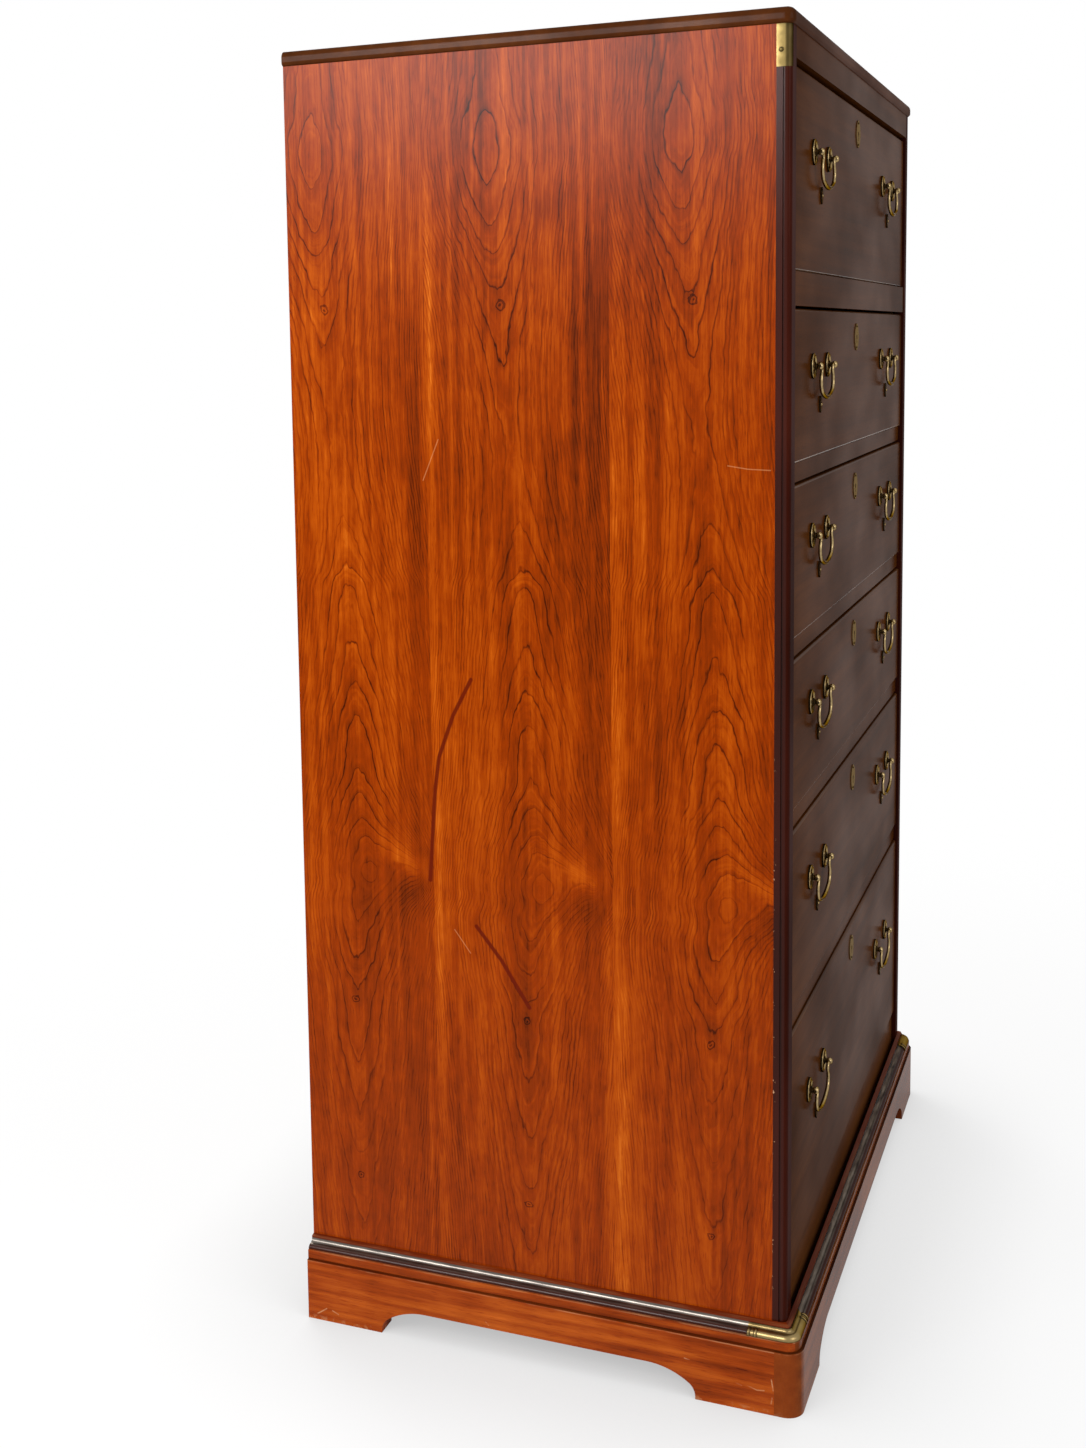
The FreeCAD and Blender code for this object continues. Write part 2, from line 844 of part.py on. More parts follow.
def drawer_front(drawer):
    body = new_body("drawer_%d_front" % drawer, "0", drawer_face, drawer_bottom(drawer))
    height = "drawer_%d_height" % drawer
    outline = new_sketch(body, "XZ_Plane")
    draw(outline, [
        (negative(drawer_half), "0"),
        (drawer_half, "0"),
        (drawer_half, height),
        (negative(drawer_half), height),
    ])
    board = pad(body, outline, "drawer_front_thickness", backwards=True)
    round_edges(body, board, "drawer_front_round", front_edges)
    bores = new_sketch(body, "XZ_Plane")
    for x in post_places():
        draw_circle(bores, x, pull_height(drawer), "shank_radius + shank_clearance")
    cut(body, bores)
    keyhole = new_sketch(body, "XZ_Plane")
    draw_keyhole(keyhole, "0", plate_height(drawer))
    cut(body, keyhole, "keyhole_depth")
    groove = new_sketch(body, "XZ_Plane", "-drawer_front_thickness")
    groove_foot = "runner_clearance - drawer_gap_below + drawer_bottom_lift"
    draw(groove, [
        (negative(panel_half), groove_foot),
        (panel_half, groove_foot),
        (panel_half, groove_foot + " + drawer_bottom_thickness"),
        (negative(panel_half), groove_foot + " + drawer_bottom_thickness"),
    ])
    cut(body, groove, "drawer_groove", backwards=True)
    return body


def drawer_side(drawer):
    """The left side of a drawer, grooved for the bottom."""
    body = new_body("drawer_%d_side_left" % drawer, negative(drawer_half), box_front,
                    opening_floor[drawer] + " + runner_clearance")
    height = "drawer_%d_height - drawer_side_drop" % drawer
    groove_face = "drawer_side_thickness - drawer_groove"
    groove_top = "drawer_bottom_lift + drawer_bottom_thickness"
    section = new_sketch(body, "XZ_Plane")
    draw(section, [
        ("0", "0"),
        ("drawer_side_thickness", "0"),
        ("drawer_side_thickness", "drawer_bottom_lift"),
        (groove_face, "drawer_bottom_lift"),
        (groove_face, groove_top),
        ("drawer_side_thickness", groove_top),
        ("drawer_side_thickness", height),
        ("0", height),
    ])
    pad(body, section, "drawer_box_length", backwards=True)
    return body


def drawer_box(drawer):
    name = "drawer_%d_" % drawer
    foot = opening_floor[drawer] + " + runner_clearance"
    top = "%s + drawer_%d_height - drawer_side_drop" % (foot, drawer)
    panel = foot + " + drawer_bottom_lift"
    panel_top = panel + " + drawer_bottom_thickness"
    panel_reach = panel_half + " - groove_clearance"
    panel_front = box_front + " - drawer_groove + groove_clearance"
    back_face = box_back + " - drawer_back_thickness"
    left = drawer_side(drawer)
    return group(name + "box", [
        left,
        mirrored(name + "side_right", left),
        block(name + "back", (negative(inner_half), back_face, panel_top),
              (inner_half, box_back, top)),
        block(name + "bottom", (negative(panel_reach), panel_front, panel),
              (panel_reach, box_back, panel_top)),
    ])


def drawer_hardware(drawer):
    name = "drawer_%d_" % drawer
    foot = drawer_bottom(drawer)
    axis = "%s + %s" % (foot, pull_height(drawer))
    pieces = []
    for index, x in enumerate(post_places(), start=1):
        for source, word in ((plate, "rosette"), (post, "post")):
            label = "%s%s_%d" % (name, word, index)
            pieces.append(copy_of(source, label, x, drawer_face, axis, face_outwards))
    for side, x in (("left", "-" + pull_middle), ("right", pull_middle)):
        pieces.append(copy_of(strike, name + "strike_" + side, x, drawer_face,
                              axis + " - strike_drop", face_outwards))
    keyhole = "%s + %s" % (foot, plate_height(drawer))
    pieces.append(copy_of(escutcheon, name + "plate", "0", drawer_face, keyhole, face_outwards))
    return group(name + "hardware", pieces)


def drawer_bails(drawer):
    axis = "%s + %s" % (drawer_bottom(drawer), pull_height(drawer))
    depth = drawer_face + " - bail_axis_out"
    return [
        copy_of(swan_neck, "drawer_%d_bail_left" % drawer, "-" + pull_middle, depth, axis),
        copy_of(swan_neck, "drawer_%d_bail_right" % drawer, pull_middle, depth, axis),
    ]


# The case
left_side = side_panel()
left_post = front_post()
left_base = base_side()
left_moulding = moulding_side()
left_corner = top_corner()
left_cap = base_cap()
nodes = [
    left_side,
    mirrored("side_panel_right", left_side),
    left_post,
    mirrored("front_post_right", left_post),
    back_panel(),
    top_board(),
    runners(),
    kickers(),
    dust_panels(),
    base_front(),
    left_base,
    mirrored("base_side_right", left_base),
    base_back(),
    moulding_front(),
    left_moulding,
    mirrored("base_moulding_right", left_moulding),
    glue_blocks(),
    left_corner,
    mirrored("top_corner_right", left_corner),
    left_cap,
    mirrored("base_cap_right", left_cap),
]
nodes += case_rails()

# The drawers and their brass
plate = rosette()
post = pull_post()
strike = strike_plate()
escutcheon = keyhole_plate()
swan_neck = bail()
document.recompute()
for drawer in drawer_numbers:
    nodes += [drawer_front(drawer), drawer_box(drawer), drawer_hardware(drawer)]
    nodes += drawer_bails(drawer)
document.recompute()

# Nothing is written unless every object is sound
for item in document.Objects:
    if "Invalid" in item.State or "Error" in item.State:
        raise RuntimeError("failed: " + item.Label)
for node in nodes:
    shape = Part.getShape(node)
    if shape.isNull() or not shape.isValid() or not shape.Solids:
        raise RuntimeError("no sound solid: " + node.Label)

os.makedirs("parts", exist_ok=True)
for node in nodes:
    Part.getShape(node).exportStep("parts/%s.step" % node.Label)
print(len(nodes), "nodes written")
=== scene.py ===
import json
import math

import bmesh
import bpy
from mathutils import Euler, Matrix, Vector

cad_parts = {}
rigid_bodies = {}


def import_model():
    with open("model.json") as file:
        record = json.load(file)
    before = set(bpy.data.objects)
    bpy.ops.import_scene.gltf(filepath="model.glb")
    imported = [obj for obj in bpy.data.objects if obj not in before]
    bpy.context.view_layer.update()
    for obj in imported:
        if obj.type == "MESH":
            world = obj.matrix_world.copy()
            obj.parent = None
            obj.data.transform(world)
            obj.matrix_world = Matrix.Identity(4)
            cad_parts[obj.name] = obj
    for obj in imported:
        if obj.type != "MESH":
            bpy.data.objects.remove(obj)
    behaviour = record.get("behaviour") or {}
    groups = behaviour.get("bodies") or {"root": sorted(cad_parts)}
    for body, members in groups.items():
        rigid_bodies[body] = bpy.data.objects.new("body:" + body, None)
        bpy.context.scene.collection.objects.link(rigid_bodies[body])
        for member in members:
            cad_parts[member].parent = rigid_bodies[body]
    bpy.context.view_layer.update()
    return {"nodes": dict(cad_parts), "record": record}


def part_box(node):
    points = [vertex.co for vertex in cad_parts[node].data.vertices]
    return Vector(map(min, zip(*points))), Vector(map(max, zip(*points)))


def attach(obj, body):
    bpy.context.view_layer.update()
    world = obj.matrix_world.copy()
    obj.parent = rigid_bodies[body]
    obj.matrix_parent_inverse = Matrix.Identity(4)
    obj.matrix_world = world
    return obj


# Campaign tall chest: figured cherry sides, dark mahogany front, red mahogany base and aged brass.
# Metres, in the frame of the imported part. Sizes in the dictionaries are millimetres, apart from those of the
# stage, the lamps and the camera. A noise is ((along, across), detail, offset), in millimetres, and a value
# within a pair called From becomes one within the pair called To.

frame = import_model()
scene = bpy.context.scene
mm = 0.001
drawers = range(1, 7)
sides = {"left": -1, "right": 1}
print("frame loaded:", len(frame["nodes"]), "nodes")

# Short names for the nodes that the materials use most
sums = "ShaderNodeMath"
vectors = "ShaderNodeVectorMath"
span = "ShaderNodeMapRange"  # inputs by place: a value, then its pair From and its pair To
ramp = "ShaderNodeValToRGB"
blend = "ShaderNodeMixRGB"
noise = "ShaderNodeTexNoise"
mapping = "ShaderNodeMapping"
split = "ShaderNodeSeparateXYZ"
join = "ShaderNodeCombineXYZ"
normals = "ShaderNodeNewGeometry"
crevices = "ShaderNodeAmbientOcclusion"

# Settings that the materials share
times, timesPlus = {"operation": "MULTIPLY"}, {"operation": "MULTIPLY_ADD"}
minus, over, larger = {"operation": "SUBTRACT"}, {"operation": "DIVIDE"}, {"operation": "MAXIMUM"}
softly = {"interpolation_type": "SMOOTHSTEP"}
falling = (1, 0)
noiseMiddle = 0.5
noiseRough = 0.55
grainBump = {"Strength": 0.06, "Distance": 0.4 * mm}
axisOf = {"x": (1, 0, 0), "y": (0, 1, 0), "z": (0, 0, 1), "even": (0, 0, 0)}


def linear(hexColour):
    # sRGB hex to linear, by the standard curve
    shares = [int(hexColour[i:i + 2], 16) / 255 for i in (1, 3, 5)]
    return [s / 12.92 if s <= 0.04045 else ((s + 0.055) / 1.055) ** 2.4 for s in shares] + [1.0]


def addNode(tree, kind, links=(), stops=None, points=None, **settings):
    # settings by name, then a number, colour, socket or node on each input, by place or by name
    node = tree.nodes.new(kind)
    for setting, value in settings.items():
        setattr(node, setting, value)
    if stops:  # colour ramp: {place: hex}
        places = sorted(stops)
        ends = node.color_ramp.elements
        ends[0].position, ends[1].position = places[0], places[-1]
        ends[0].color, ends[1].color = linear(stops[places[0]]), linear(stops[places[-1]])
        for at in places[1:-1]:
            ends.new(at).color = linear(stops[at])
    if points:  # float curve: {place: height}
        curve = node.mapping.curves[0]
        places = sorted(points)
        curve.points[0].location = places[0], points[places[0]]
        curve.points[1].location = places[-1], points[places[-1]]
        for at in places[1:-1]:
            curve.points.new(at, points[at])
        for point in curve.points:
            point.handle_type = "AUTO_CLAMPED"
        node.mapping.update()
    for socket, value in (links.items() if isinstance(links, dict) else enumerate(links)):
        if isinstance(value, bpy.types.Node):
            value = value.outputs[0]
        if isinstance(value, bpy.types.NodeSocket):
            tree.links.new(value, node.inputs[socket])
        elif value is not None:
            node.inputs[socket].default_value = value
    return node


def newMaterial(name):
    material = bpy.data.materials.new(name)
    material.use_nodes = True
    tree = material.node_tree
    return material, tree, tree.nodes["Principled BSDF"]


def setShader(tree, shader, **values):
    # a constant on each socket, or a link from a node
    for name, value in values.items():
        socket = shader.inputs[name.replace("_", " ")]
        if isinstance(value, bpy.types.Node):
            tree.links.new(value.outputs[0], socket)
        else:
            socket.default_value = value


def millimetres(tree):
    # object coordinates, so that every pattern below is in real millimetres
    place = addNode(tree, "ShaderNodeTexCoord")
    return addNode(tree, vectors, {0: place.outputs["Object"], "Scale": 1 / mm}, operation="SCALE")


def grainNoise(tree, place, axis, size, detail=5, offset=0):
    # noise drawn out along an axis: size is (along, across)
    along, across = size
    shrink = [1 / along if run else 1 / across for run in axisOf[axis]]
    mapped = addNode(tree, mapping, {"Vector": place, "Scale": shrink, "Location": [offset] * 3})
    return addNode(tree, noise, {"Vector": mapped, "Scale": 1, "Detail": detail, "Roughness": noiseRough})


# Cherry sides: three leaves of one log, laid side by side. Heights are from the floor
cherry = {
    # the leaves, and how far apart their noise is drawn: neighbours are alike, not the same
    "leafWidth": 190, "firstSeam": 305.75, "leafApart": 14, "leafStep": 0.04, "veneerThick": 1,
    # curves by height, each with the most that its scale holds
    "byHeight": {
        # the figure's middle in its leaf
        "middle": ({86: 101, 270: 101, 405: 102, 455: 105, 499: 118, 545: 112, 600: 108, 700: 105, 836: 99,
                    1086: 78, 1236: 69, 1336: 69}, 190),
        # year lines passed at the figure's middle: they close round the oval and round the eye
        "years": ({86: 8.2, 182: 7, 244: 6, 302: 5, 375: 4, 405: 3, 446: 2, 485: 1, 499: 0.6, 512: 1, 536: 2,
                   553: 3, 579: 4, 603: 5, 662: 6, 697: 7, 744: 8, 801: 9, 820: 10, 870: 11, 948: 11.7,
                   1033: 11, 1088: 10, 1134: 9, 1163: 8, 1206: 7, 1240: 6.45, 1276: 7, 1336: 7.7}, 13),
        # how strongly the lines show, and the fibres and streaks
        "lineShows": ({86: 0.45, 300: 0.55, 455: 0.75, 499: 0.4, 535: 0.8, 760: 1, 900: 0.6, 1060: 0.9,
                       1250: 1, 1336: 0.5}, 1),
        "fibreShows": ({86: 0.6, 500: 0.65, 800: 0.85, 1000: 1, 1336: 1.1}, 1.2),
        # the pale streak beside a seam: its width, and how much the seam shows
        "paleWide": ({86: 9, 400: 9, 800: 12, 1100: 11, 1230: 5, 1336: 2}, 20),
        "seamShows": ({86: 0.55, 450: 0.65, 700: 1, 1020: 1, 1150: 0.6, 1250: 0.2, 1336: 0}, 1),
        # the polish
        "coat": ({86: 0.16, 350: 0.1, 700: 0.05, 1000: 0.08, 1200: 0.14, 1336: 0.16}, 0.2),
    },
    # noises drawn out up the leaf or the whole side
    "leafNoises": {"fading": ((110, 22), 2), "broken": ((90, 10), 2, 3), "streak": ((520, 8), 4),
                   "cloud": ((26, 15), 3), "fleck": ((14, 1.3), 2), "fibre": ((45, 2.2), 4),
                   "stray": ((80, 300), 3)},
    "sideNoises": {"broad": ((420, 90), 2, 7), "bare": ((300, 6),), "peel": ((3, 2.2), 2)},
    # years passed per mm beside the middle, per square mm further out, and how round a line's tip is
    "legYears": 0.06, "flankYears": 0.0007, "tipRound": 7, "leastSteep": 0.03, "halfYear": 0.5,
    # wavering of the lines: (across, along) in mm, and how many years it moves them
    "waver": {(60, 190): 1.0, (20, 50): 0.7, (7, 16): 0.4}, "waverDetail": 1.5,
    # bending of the knots and the flare: its size, and how far it moves them
    "bendSize": 9, "bendDetail": 2, "bendBy": 9,
    # a line by the distance from its middle, how it fades here and there, and how far out the figure reaches
    "lineFrom": (0.2, 1.1), "fadeFrom": (0.38, 0.6), "fadeTo": (0.35, 1),
    "figureFrom": (12, 44), "figureTo": (1, 0.14),
    # close lines beside the figure: how many to a year, their width, where they start and where they break
    "closeYears": 2, "closeFrom": (0.2, 1.5), "besideFrom": (14, 36), "brokenFrom": (0.4, 0.62),
    # how fast a year pales, and the strands within it
    "latePower": 4, "strandYears": 4.5, "strandLong": 260, "strandDetail": 3, "strandRough": 0.6,
    "fleckFrom": (0.58, 0.72),
    # beside the oval the lines are drawn out to a beak: its tip, height, size, slope and how far it draws
    "beakTip": (52, 70), "beakHeight": 531, "beakHalf": 15, "beakSlope": 0.4, "beakDraw": 0.78,
    # a flare shines there: out from the middle, height, length, width and turn
    "flare": (40, 518, 17, 8, -42),
    # with a dull shade under it: out from the middle, height, half width and half height
    "shade": (44, 484, 24, 22),
    # knots: out from the middle, height and size, with a ring and a dot of their own darkness
    "knots": [(3, 1083, 4), (-3, 360, 3.2), (-2, 164, 3.2)],
    "knotRings": ((0.6, 0.14), (1, 0.06)), "knotDark": 0.8,
    # the pale streak after a seam, how it frays and starts, and the dull band before the next one
    "paleFray": 12, "paleFrom": (0.1, 0.9), "startFrom": (0, 5), "startTo": (0.35, 1),
    "dullStray": -50, "dullFrom": (108, 150), "dullFray": 24, "endFrom": (186, 204), "endTo": (1, 0.4),
    # the fibres' share beside the streaks, and their tone, then what else moves it and from what middle
    "fibreShare": 0.6, "fibreMiddle": 0.8, "fibreTone": (0.75, 0.5),
    "tones": {"strand": (0.4, 0.5), "broad": (0.7, 0.5), "cloud": (0.3, 0.5), "pale": (0.2, 0),
              "dull": (-0.12, 0), "line": (-0.36, 0), "late": (-0.13, 0.2), "fleck": (-0.14, 0),
              "close": (-0.2, 0.2), "flare": (0.26, 0), "shade": (-0.15, 0)},
    # patches of painted shade and painted light, darker by the front post and low at the back, paler high up
    # and low towards the front: depth, height, their sizes, and by how much
    "lightAndShadePatches": [(-240, 620, 36, 260, -0.2), (240, 220, 110, 170, -0.11), (90, 1180, 60, 160, 0.06),
                (20, 1010, 60, 120, 0.06), (-80, 160, 90, 90, 0.05)],
    "stops": {0: "#2C0D02", 0.25: "#602002", 0.5: "#8A3001", 0.75: "#AC4A06", 1: "#DA781F"},
    "bareStops": {0.3: "#7D5A38", 0.7: "#A98256"}, "lineDeep": -0.5,
    # marks on the left side: two dark strokes through points (depth, height), a smudge, and pale scratches
    "strokes": [[(72, 709), (92, 671), (108, 627), (113, 592), (120, 497)],
                [(70, 453), (44, 421), (14, 374)]],
    "strokeHalf": (1.5, 2.7), "strokeShows": 0.92, "strokeColour": "#5E1604",
    "smudge": (-9, 1173, 9), "smudgeShows": 0.55,
    "scratches": [[(-189, 927), (-208, 924), (-229, 923)], [(94, 447), (77, 424)], [(120, 910), (103, 951)]],
    "scratchHalf": (0.2, 0.8), "scratchShows": 0.4, "scratchColour": "#D08E58",
}
farOff = 1000  # from every stroke


def heightCurve(tree, height, heights, most):
    # a smooth curve through sizes given by height
    low, high = min(heights), max(heights)
    share = addNode(tree, span, [height, low, high])
    points = {(at - low) / (high - low): size / most for at, size in heights.items()}
    share = addNode(tree, "ShaderNodeFloatCurve", {"Value": share}, points=points)
    return addNode(tree, sums, [share, most], **times)


def softSpot(tree, flat, out, up, long, wide=0, turn=0):
    # 1 at a point, fading round it
    gone = addNode(tree, mapping, {"Vector": flat, "Location": (out, up, 0), "Scale": (long, wide or long, 1),
                                   "Rotation": (0, 0, math.radians(turn))}, vector_type="TEXTURE")
    gone = addNode(tree, vectors, [gone, gone], operation="DOT_PRODUCT").outputs["Value"]
    return addNode(tree, sums, [math.exp(-0.5), gone], operation="POWER")


def strokeMask(tree, flat, chains, full, none):
    # 1 near chains of straight runs through points, fading between two distances from them
    nearest = farOff
    for chain in chains:
        for start, finish in zip(chain, chain[1:]):
            run = Vector(finish) - Vector(start)
            gone = addNode(tree, vectors, [flat, (*start, 0)], **minus)
            share = addNode(tree, vectors, [gone, (*(run / run.length_squared), 0)], operation="DOT_PRODUCT")
            share = addNode(tree, "ShaderNodeClamp", [share.outputs["Value"]])
            reached = addNode(tree, vectors, {0: (*run, 0), "Scale": share}, operation="SCALE")
            off = addNode(tree, vectors, [gone, reached], operation="DISTANCE").outputs["Value"]
            nearest = addNode(tree, sums, [nearest, off], operation="MINIMUM")
    return addNode(tree, span, [nearest, full, none, *falling])


def cherryVeneer(name, marked):
    # Cherry, flat cut and sanded under satin lacquer: arches, eyes and swirls of thin dark year lines on
    # orange-brown, repeated leaf by leaf, with fine strands between and a pale streak along each seam
    c = cherry
    material, tree, shader = newMaterial(name)
    place = millimetres(tree)
    axes = addNode(tree, split, [place])
    depth, height = axes.outputs["Y"], axes.outputs["Z"]
    flat = addNode(tree, join, [depth, height, 0])
    # which leaf, and how far across it
    across = addNode(tree, sums, [c["firstSeam"], depth], **minus)
    across = addNode(tree, sums, [across, c["leafWidth"]], **over)
    leaf = addNode(tree, sums, [across], operation="FLOOR")
    share = addNode(tree, sums, [across], operation="FRACT")
    inLeaf = addNode(tree, sums, [share, c["leafWidth"]], **times)
    apart = addNode(tree, sums, [leaf, c["leafApart"]], **times)
    leafPlace = addNode(tree, join, [inLeaf, apart, height])
    byHeight = {kind: heightCurve(tree, height, *curve) for kind, curve in c["byHeight"].items()}
    leafNoise = {kind: grainNoise(tree, leafPlace, "z", *size) for kind, size in c["leafNoises"].items()}
    sideNoise = {kind: grainNoise(tree, place, "z", *size) for kind, size in c["sideNoises"].items()}
    # how far aside of the figure's middle, drawn out to the beak on the right
    aside = addNode(tree, sums, [inLeaf, byHeight["middle"]], **minus)
    inFigure = addNode(tree, join, [aside, height, 0])
    beak = addNode(tree, sums, [aside, c["beakSlope"], height], **timesPlus)
    beak = addNode(tree, sums, [beak, c["beakHeight"]], **minus)
    beak = addNode(tree, sums, [beak], operation="ABSOLUTE")
    beak = addNode(tree, sums, [beak, c["beakHalf"]], **over)
    beak = addNode(tree, sums, [math.exp(-1), beak], operation="POWER")
    ends = addNode(tree, span, [aside, *c["beakTip"], c["beakDraw"], 0], **softly)
    beak = addNode(tree, sums, [beak, ends], **times)
    right = addNode(tree, sums, [aside, 0], **larger)
    drawn = addNode(tree, sums, [right, beak], **times)
    aside = addNode(tree, sums, [aside, drawn], **minus)
    farOut = addNode(tree, sums, [aside], operation="ABSOLUTE")
    # years: a curve up the middle, straight legs beside it, closer lines further out, and a waver
    square = addNode(tree, sums, [aside, aside], **times)
    root = addNode(tree, sums, [square, c["tipRound"] ** 2], operation="ADD")
    root = addNode(tree, sums, [root], operation="SQRT")
    tip = c["tipRound"] * c["legYears"]
    legs = addNode(tree, sums, [root, c["legYears"], -tip], **timesPlus)
    years = addNode(tree, sums, [byHeight["years"], legs], operation="ADD")
    years = addNode(tree, sums, [square, c["flankYears"], years], **timesPlus)
    for (wide, tall), amount in c["waver"].items():
        mapped = addNode(tree, mapping, {"Vector": leafPlace, "Scale": (1 / wide, c["leafStep"], 1 / tall)})
        waver = addNode(tree, noise, {"Vector": mapped, "Scale": 1, "Detail": c["waverDetail"]})
        waver = addNode(tree, sums, [waver, noiseMiddle], **minus)
        years = addNode(tree, sums, [waver, amount, years], **timesPlus)
    # years per mm: a line is as thin at its tip as along its sides
    steep = addNode(tree, sums, [c["legYears"], root], **over)
    steep = addNode(tree, sums, [steep, 2 * c["flankYears"]], operation="ADD")
    steep = addNode(tree, sums, [steep, aside], **times)
    steep = addNode(tree, sums, [steep, steep, c["leastSteep"] ** 2], **timesPlus)
    steep = addNode(tree, sums, [steep], operation="SQRT")
    # the lines of the figure
    near = addNode(tree, sums, [years, c["halfYear"]], operation="PINGPONG")
    near = addNode(tree, sums, [near, steep], **over)
    line = addNode(tree, span, [near, *c["lineFrom"], *falling], **softly)
    fading = addNode(tree, span, [leafNoise["fading"], *c["fadeFrom"], *c["fadeTo"]])
    figure = addNode(tree, span, [farOut, *c["figureFrom"], *c["figureTo"]], **softly)
    figure = addNode(tree, sums, [figure, byHeight["lineShows"]], **times)
    for share in (fading, figure):
        line = addNode(tree, sums, [line, share], **times)
    # close lines run beside the figure
    close = addNode(tree, sums, [years, c["closeYears"]], **times)
    close = addNode(tree, sums, [close, c["halfYear"]], operation="PINGPONG")
    close = addNode(tree, sums, [close, steep], **over)
    close = addNode(tree, span, [close, *c["closeFrom"], *falling])
    beside = addNode(tree, span, [farOut, *c["besideFrom"]])
    broken = addNode(tree, span, [leafNoise["broken"], *c["brokenFrom"]])
    for share in (beside, broken):
        close = addNode(tree, sums, [close, share], **times)
    # each knot is a small ring with a dark dot in it
    size = 1 / c["bendSize"]
    bend = addNode(tree, mapping, {"Vector": leafPlace, "Scale": (size, c["leafStep"], size)})
    bend = addNode(tree, noise, {"Vector": bend, "Scale": 1, "Detail": c["bendDetail"]}).outputs["Color"]
    bend = addNode(tree, vectors, [bend, [noiseMiddle] * 3], **minus)
    bent = addNode(tree, vectors, [bend, (c["bendBy"], c["bendBy"], 0), inFigure], **timesPlus)
    for knot in c["knots"]:
        spot = softSpot(tree, bent, *knot)
        for level, half in c["knotRings"]:
            ring = addNode(tree, sums, [spot, level, half], operation="COMPARE")
            ring = addNode(tree, sums, [ring, c["knotDark"]], **times)
            line = addNode(tree, sums, [line, ring], **larger)
    # each year is dark just outside its line, and pales towards the next
    late = addNode(tree, sums, [years], operation="FRACT")
    late = addNode(tree, sums, [1, late], **minus)
    late = addNode(tree, sums, [late, c["latePower"]], operation="POWER")
    late = addNode(tree, sums, [late, figure], **times)
    # strands run beside the year lines, flecks and fibres up the leaf
    closer = addNode(tree, sums, [years, c["strandYears"]], **times)
    farUp = addNode(tree, sums, [height, c["strandLong"]], **over)
    strand = addNode(tree, join, [closer, farUp, apart])
    strand = addNode(tree, noise, {"Vector": strand, "Scale": 1, "Detail": c["strandDetail"],
                                   "Roughness": c["strandRough"]})
    fleck = addNode(tree, span, [leafNoise["fleck"], *c["fleckFrom"]])
    fibre, stray = leafNoise["fibre"], leafNoise["stray"]
    fine = addNode(tree, sums, [fibre, c["fibreShare"], leafNoise["streak"]], **timesPlus)
    fine = addNode(tree, sums, [fine, c["fibreMiddle"]], **minus)
    fine = addNode(tree, sums, [fine, byHeight["fibreShows"]], **times)
    # a pale streak frays out after each seam, and a dull band lies before the next
    wide = byHeight["paleWide"]
    for fray in (stray, fibre):
        wide = addNode(tree, sums, [fray, c["paleFray"], wide], **timesPlus)
    pale = addNode(tree, sums, [inLeaf, wide], **over)
    pale = addNode(tree, span, [pale, *c["paleFrom"], *falling], **softly)
    start = addNode(tree, span, [inLeaf, *c["startFrom"], *c["startTo"]])
    pale = addNode(tree, sums, [pale, start], **times)
    pale = addNode(tree, sums, [pale, byHeight["seamShows"]], **times)
    dull = addNode(tree, sums, [stray, c["dullStray"], inLeaf], **timesPlus)
    dull = addNode(tree, span, [dull, *c["dullFrom"]], **softly)
    end = addNode(tree, sums, [fibre, c["dullFray"], inLeaf], **timesPlus)
    end = addNode(tree, span, [end, *c["endFrom"], *c["endTo"]])
    dull = addNode(tree, sums, [dull, end], **times)
    dull = addNode(tree, sums, [dull, byHeight["seamShows"]], **times)
    # all of these move one tone, which the ramp colours
    tone = addNode(tree, sums, [fine, *c["fibreTone"]], **timesPlus)
    parts = {"strand": strand, "broad": sideNoise["broad"], "cloud": leafNoise["cloud"], "pale": pale,
             "dull": dull, "line": line, "late": late, "fleck": fleck, "close": close,
             "flare": softSpot(tree, bent, *c["flare"]), "shade": softSpot(tree, bent, *c["shade"])}
    for kind, (amount, centre) in c["tones"].items():
        part = addNode(tree, sums, [parts[kind], centre], **minus)
        tone = addNode(tree, sums, [part, amount, tone], **timesPlus)
    # painted shade and painted light: each patch moves the tone by its amount
    for *spot, amount in c["lightAndShadePatches"]:
        lightAndShadeSpot = softSpot(tree, flat, *spot)
        tone = addNode(tree, sums, [lightAndShadeSpot, amount, tone], **timesPlus)
    colour = addNode(tree, ramp, [tone], stops=c["stops"])
    if marked:
        stroke = strokeMask(tree, flat, c["strokes"], *c["strokeHalf"])
        smudge = softSpot(tree, flat, *c["smudge"])
        smudge = addNode(tree, sums, [smudge, c["smudgeShows"]], **times)
        stroke = addNode(tree, sums, [stroke, smudge], **larger)
        scratch = strokeMask(tree, flat, c["scratches"], *c["scratchHalf"])
        for mark, kind in ((stroke, "stroke"), (scratch, "scratch")):
            mark = addNode(tree, sums, [mark, c[kind + "Shows"]], **times)
            colour = addNode(tree, blend, [mark, colour, linear(c[kind + "Colour"])])
    # the inner face is bare
    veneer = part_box("side_panel_right")[1].x / mm - c["veneerThick"]
    outer = addNode(tree, sums, [axes.outputs["X"]], operation="ABSOLUTE")
    outer = addNode(tree, sums, [outer, veneer], operation="GREATER_THAN")
    bare = addNode(tree, ramp, [sideNoise["bare"]], stops=c["bareStops"])
    colour = addNode(tree, blend, [outer, bare, colour])
    peel = addNode(tree, sums, [line, c["lineDeep"], sideNoise["peel"]], **timesPlus)
    bump = addNode(tree, "ShaderNodeBump", {"Height": peel, **grainBump})
    setShader(tree, shader, Base_Color=colour, Normal=bump, Coat_Weight=byHeight["coat"],
              Roughness=0.45, Specular_IOR_Level=0.0, Coat_Roughness=0.24)
    return material


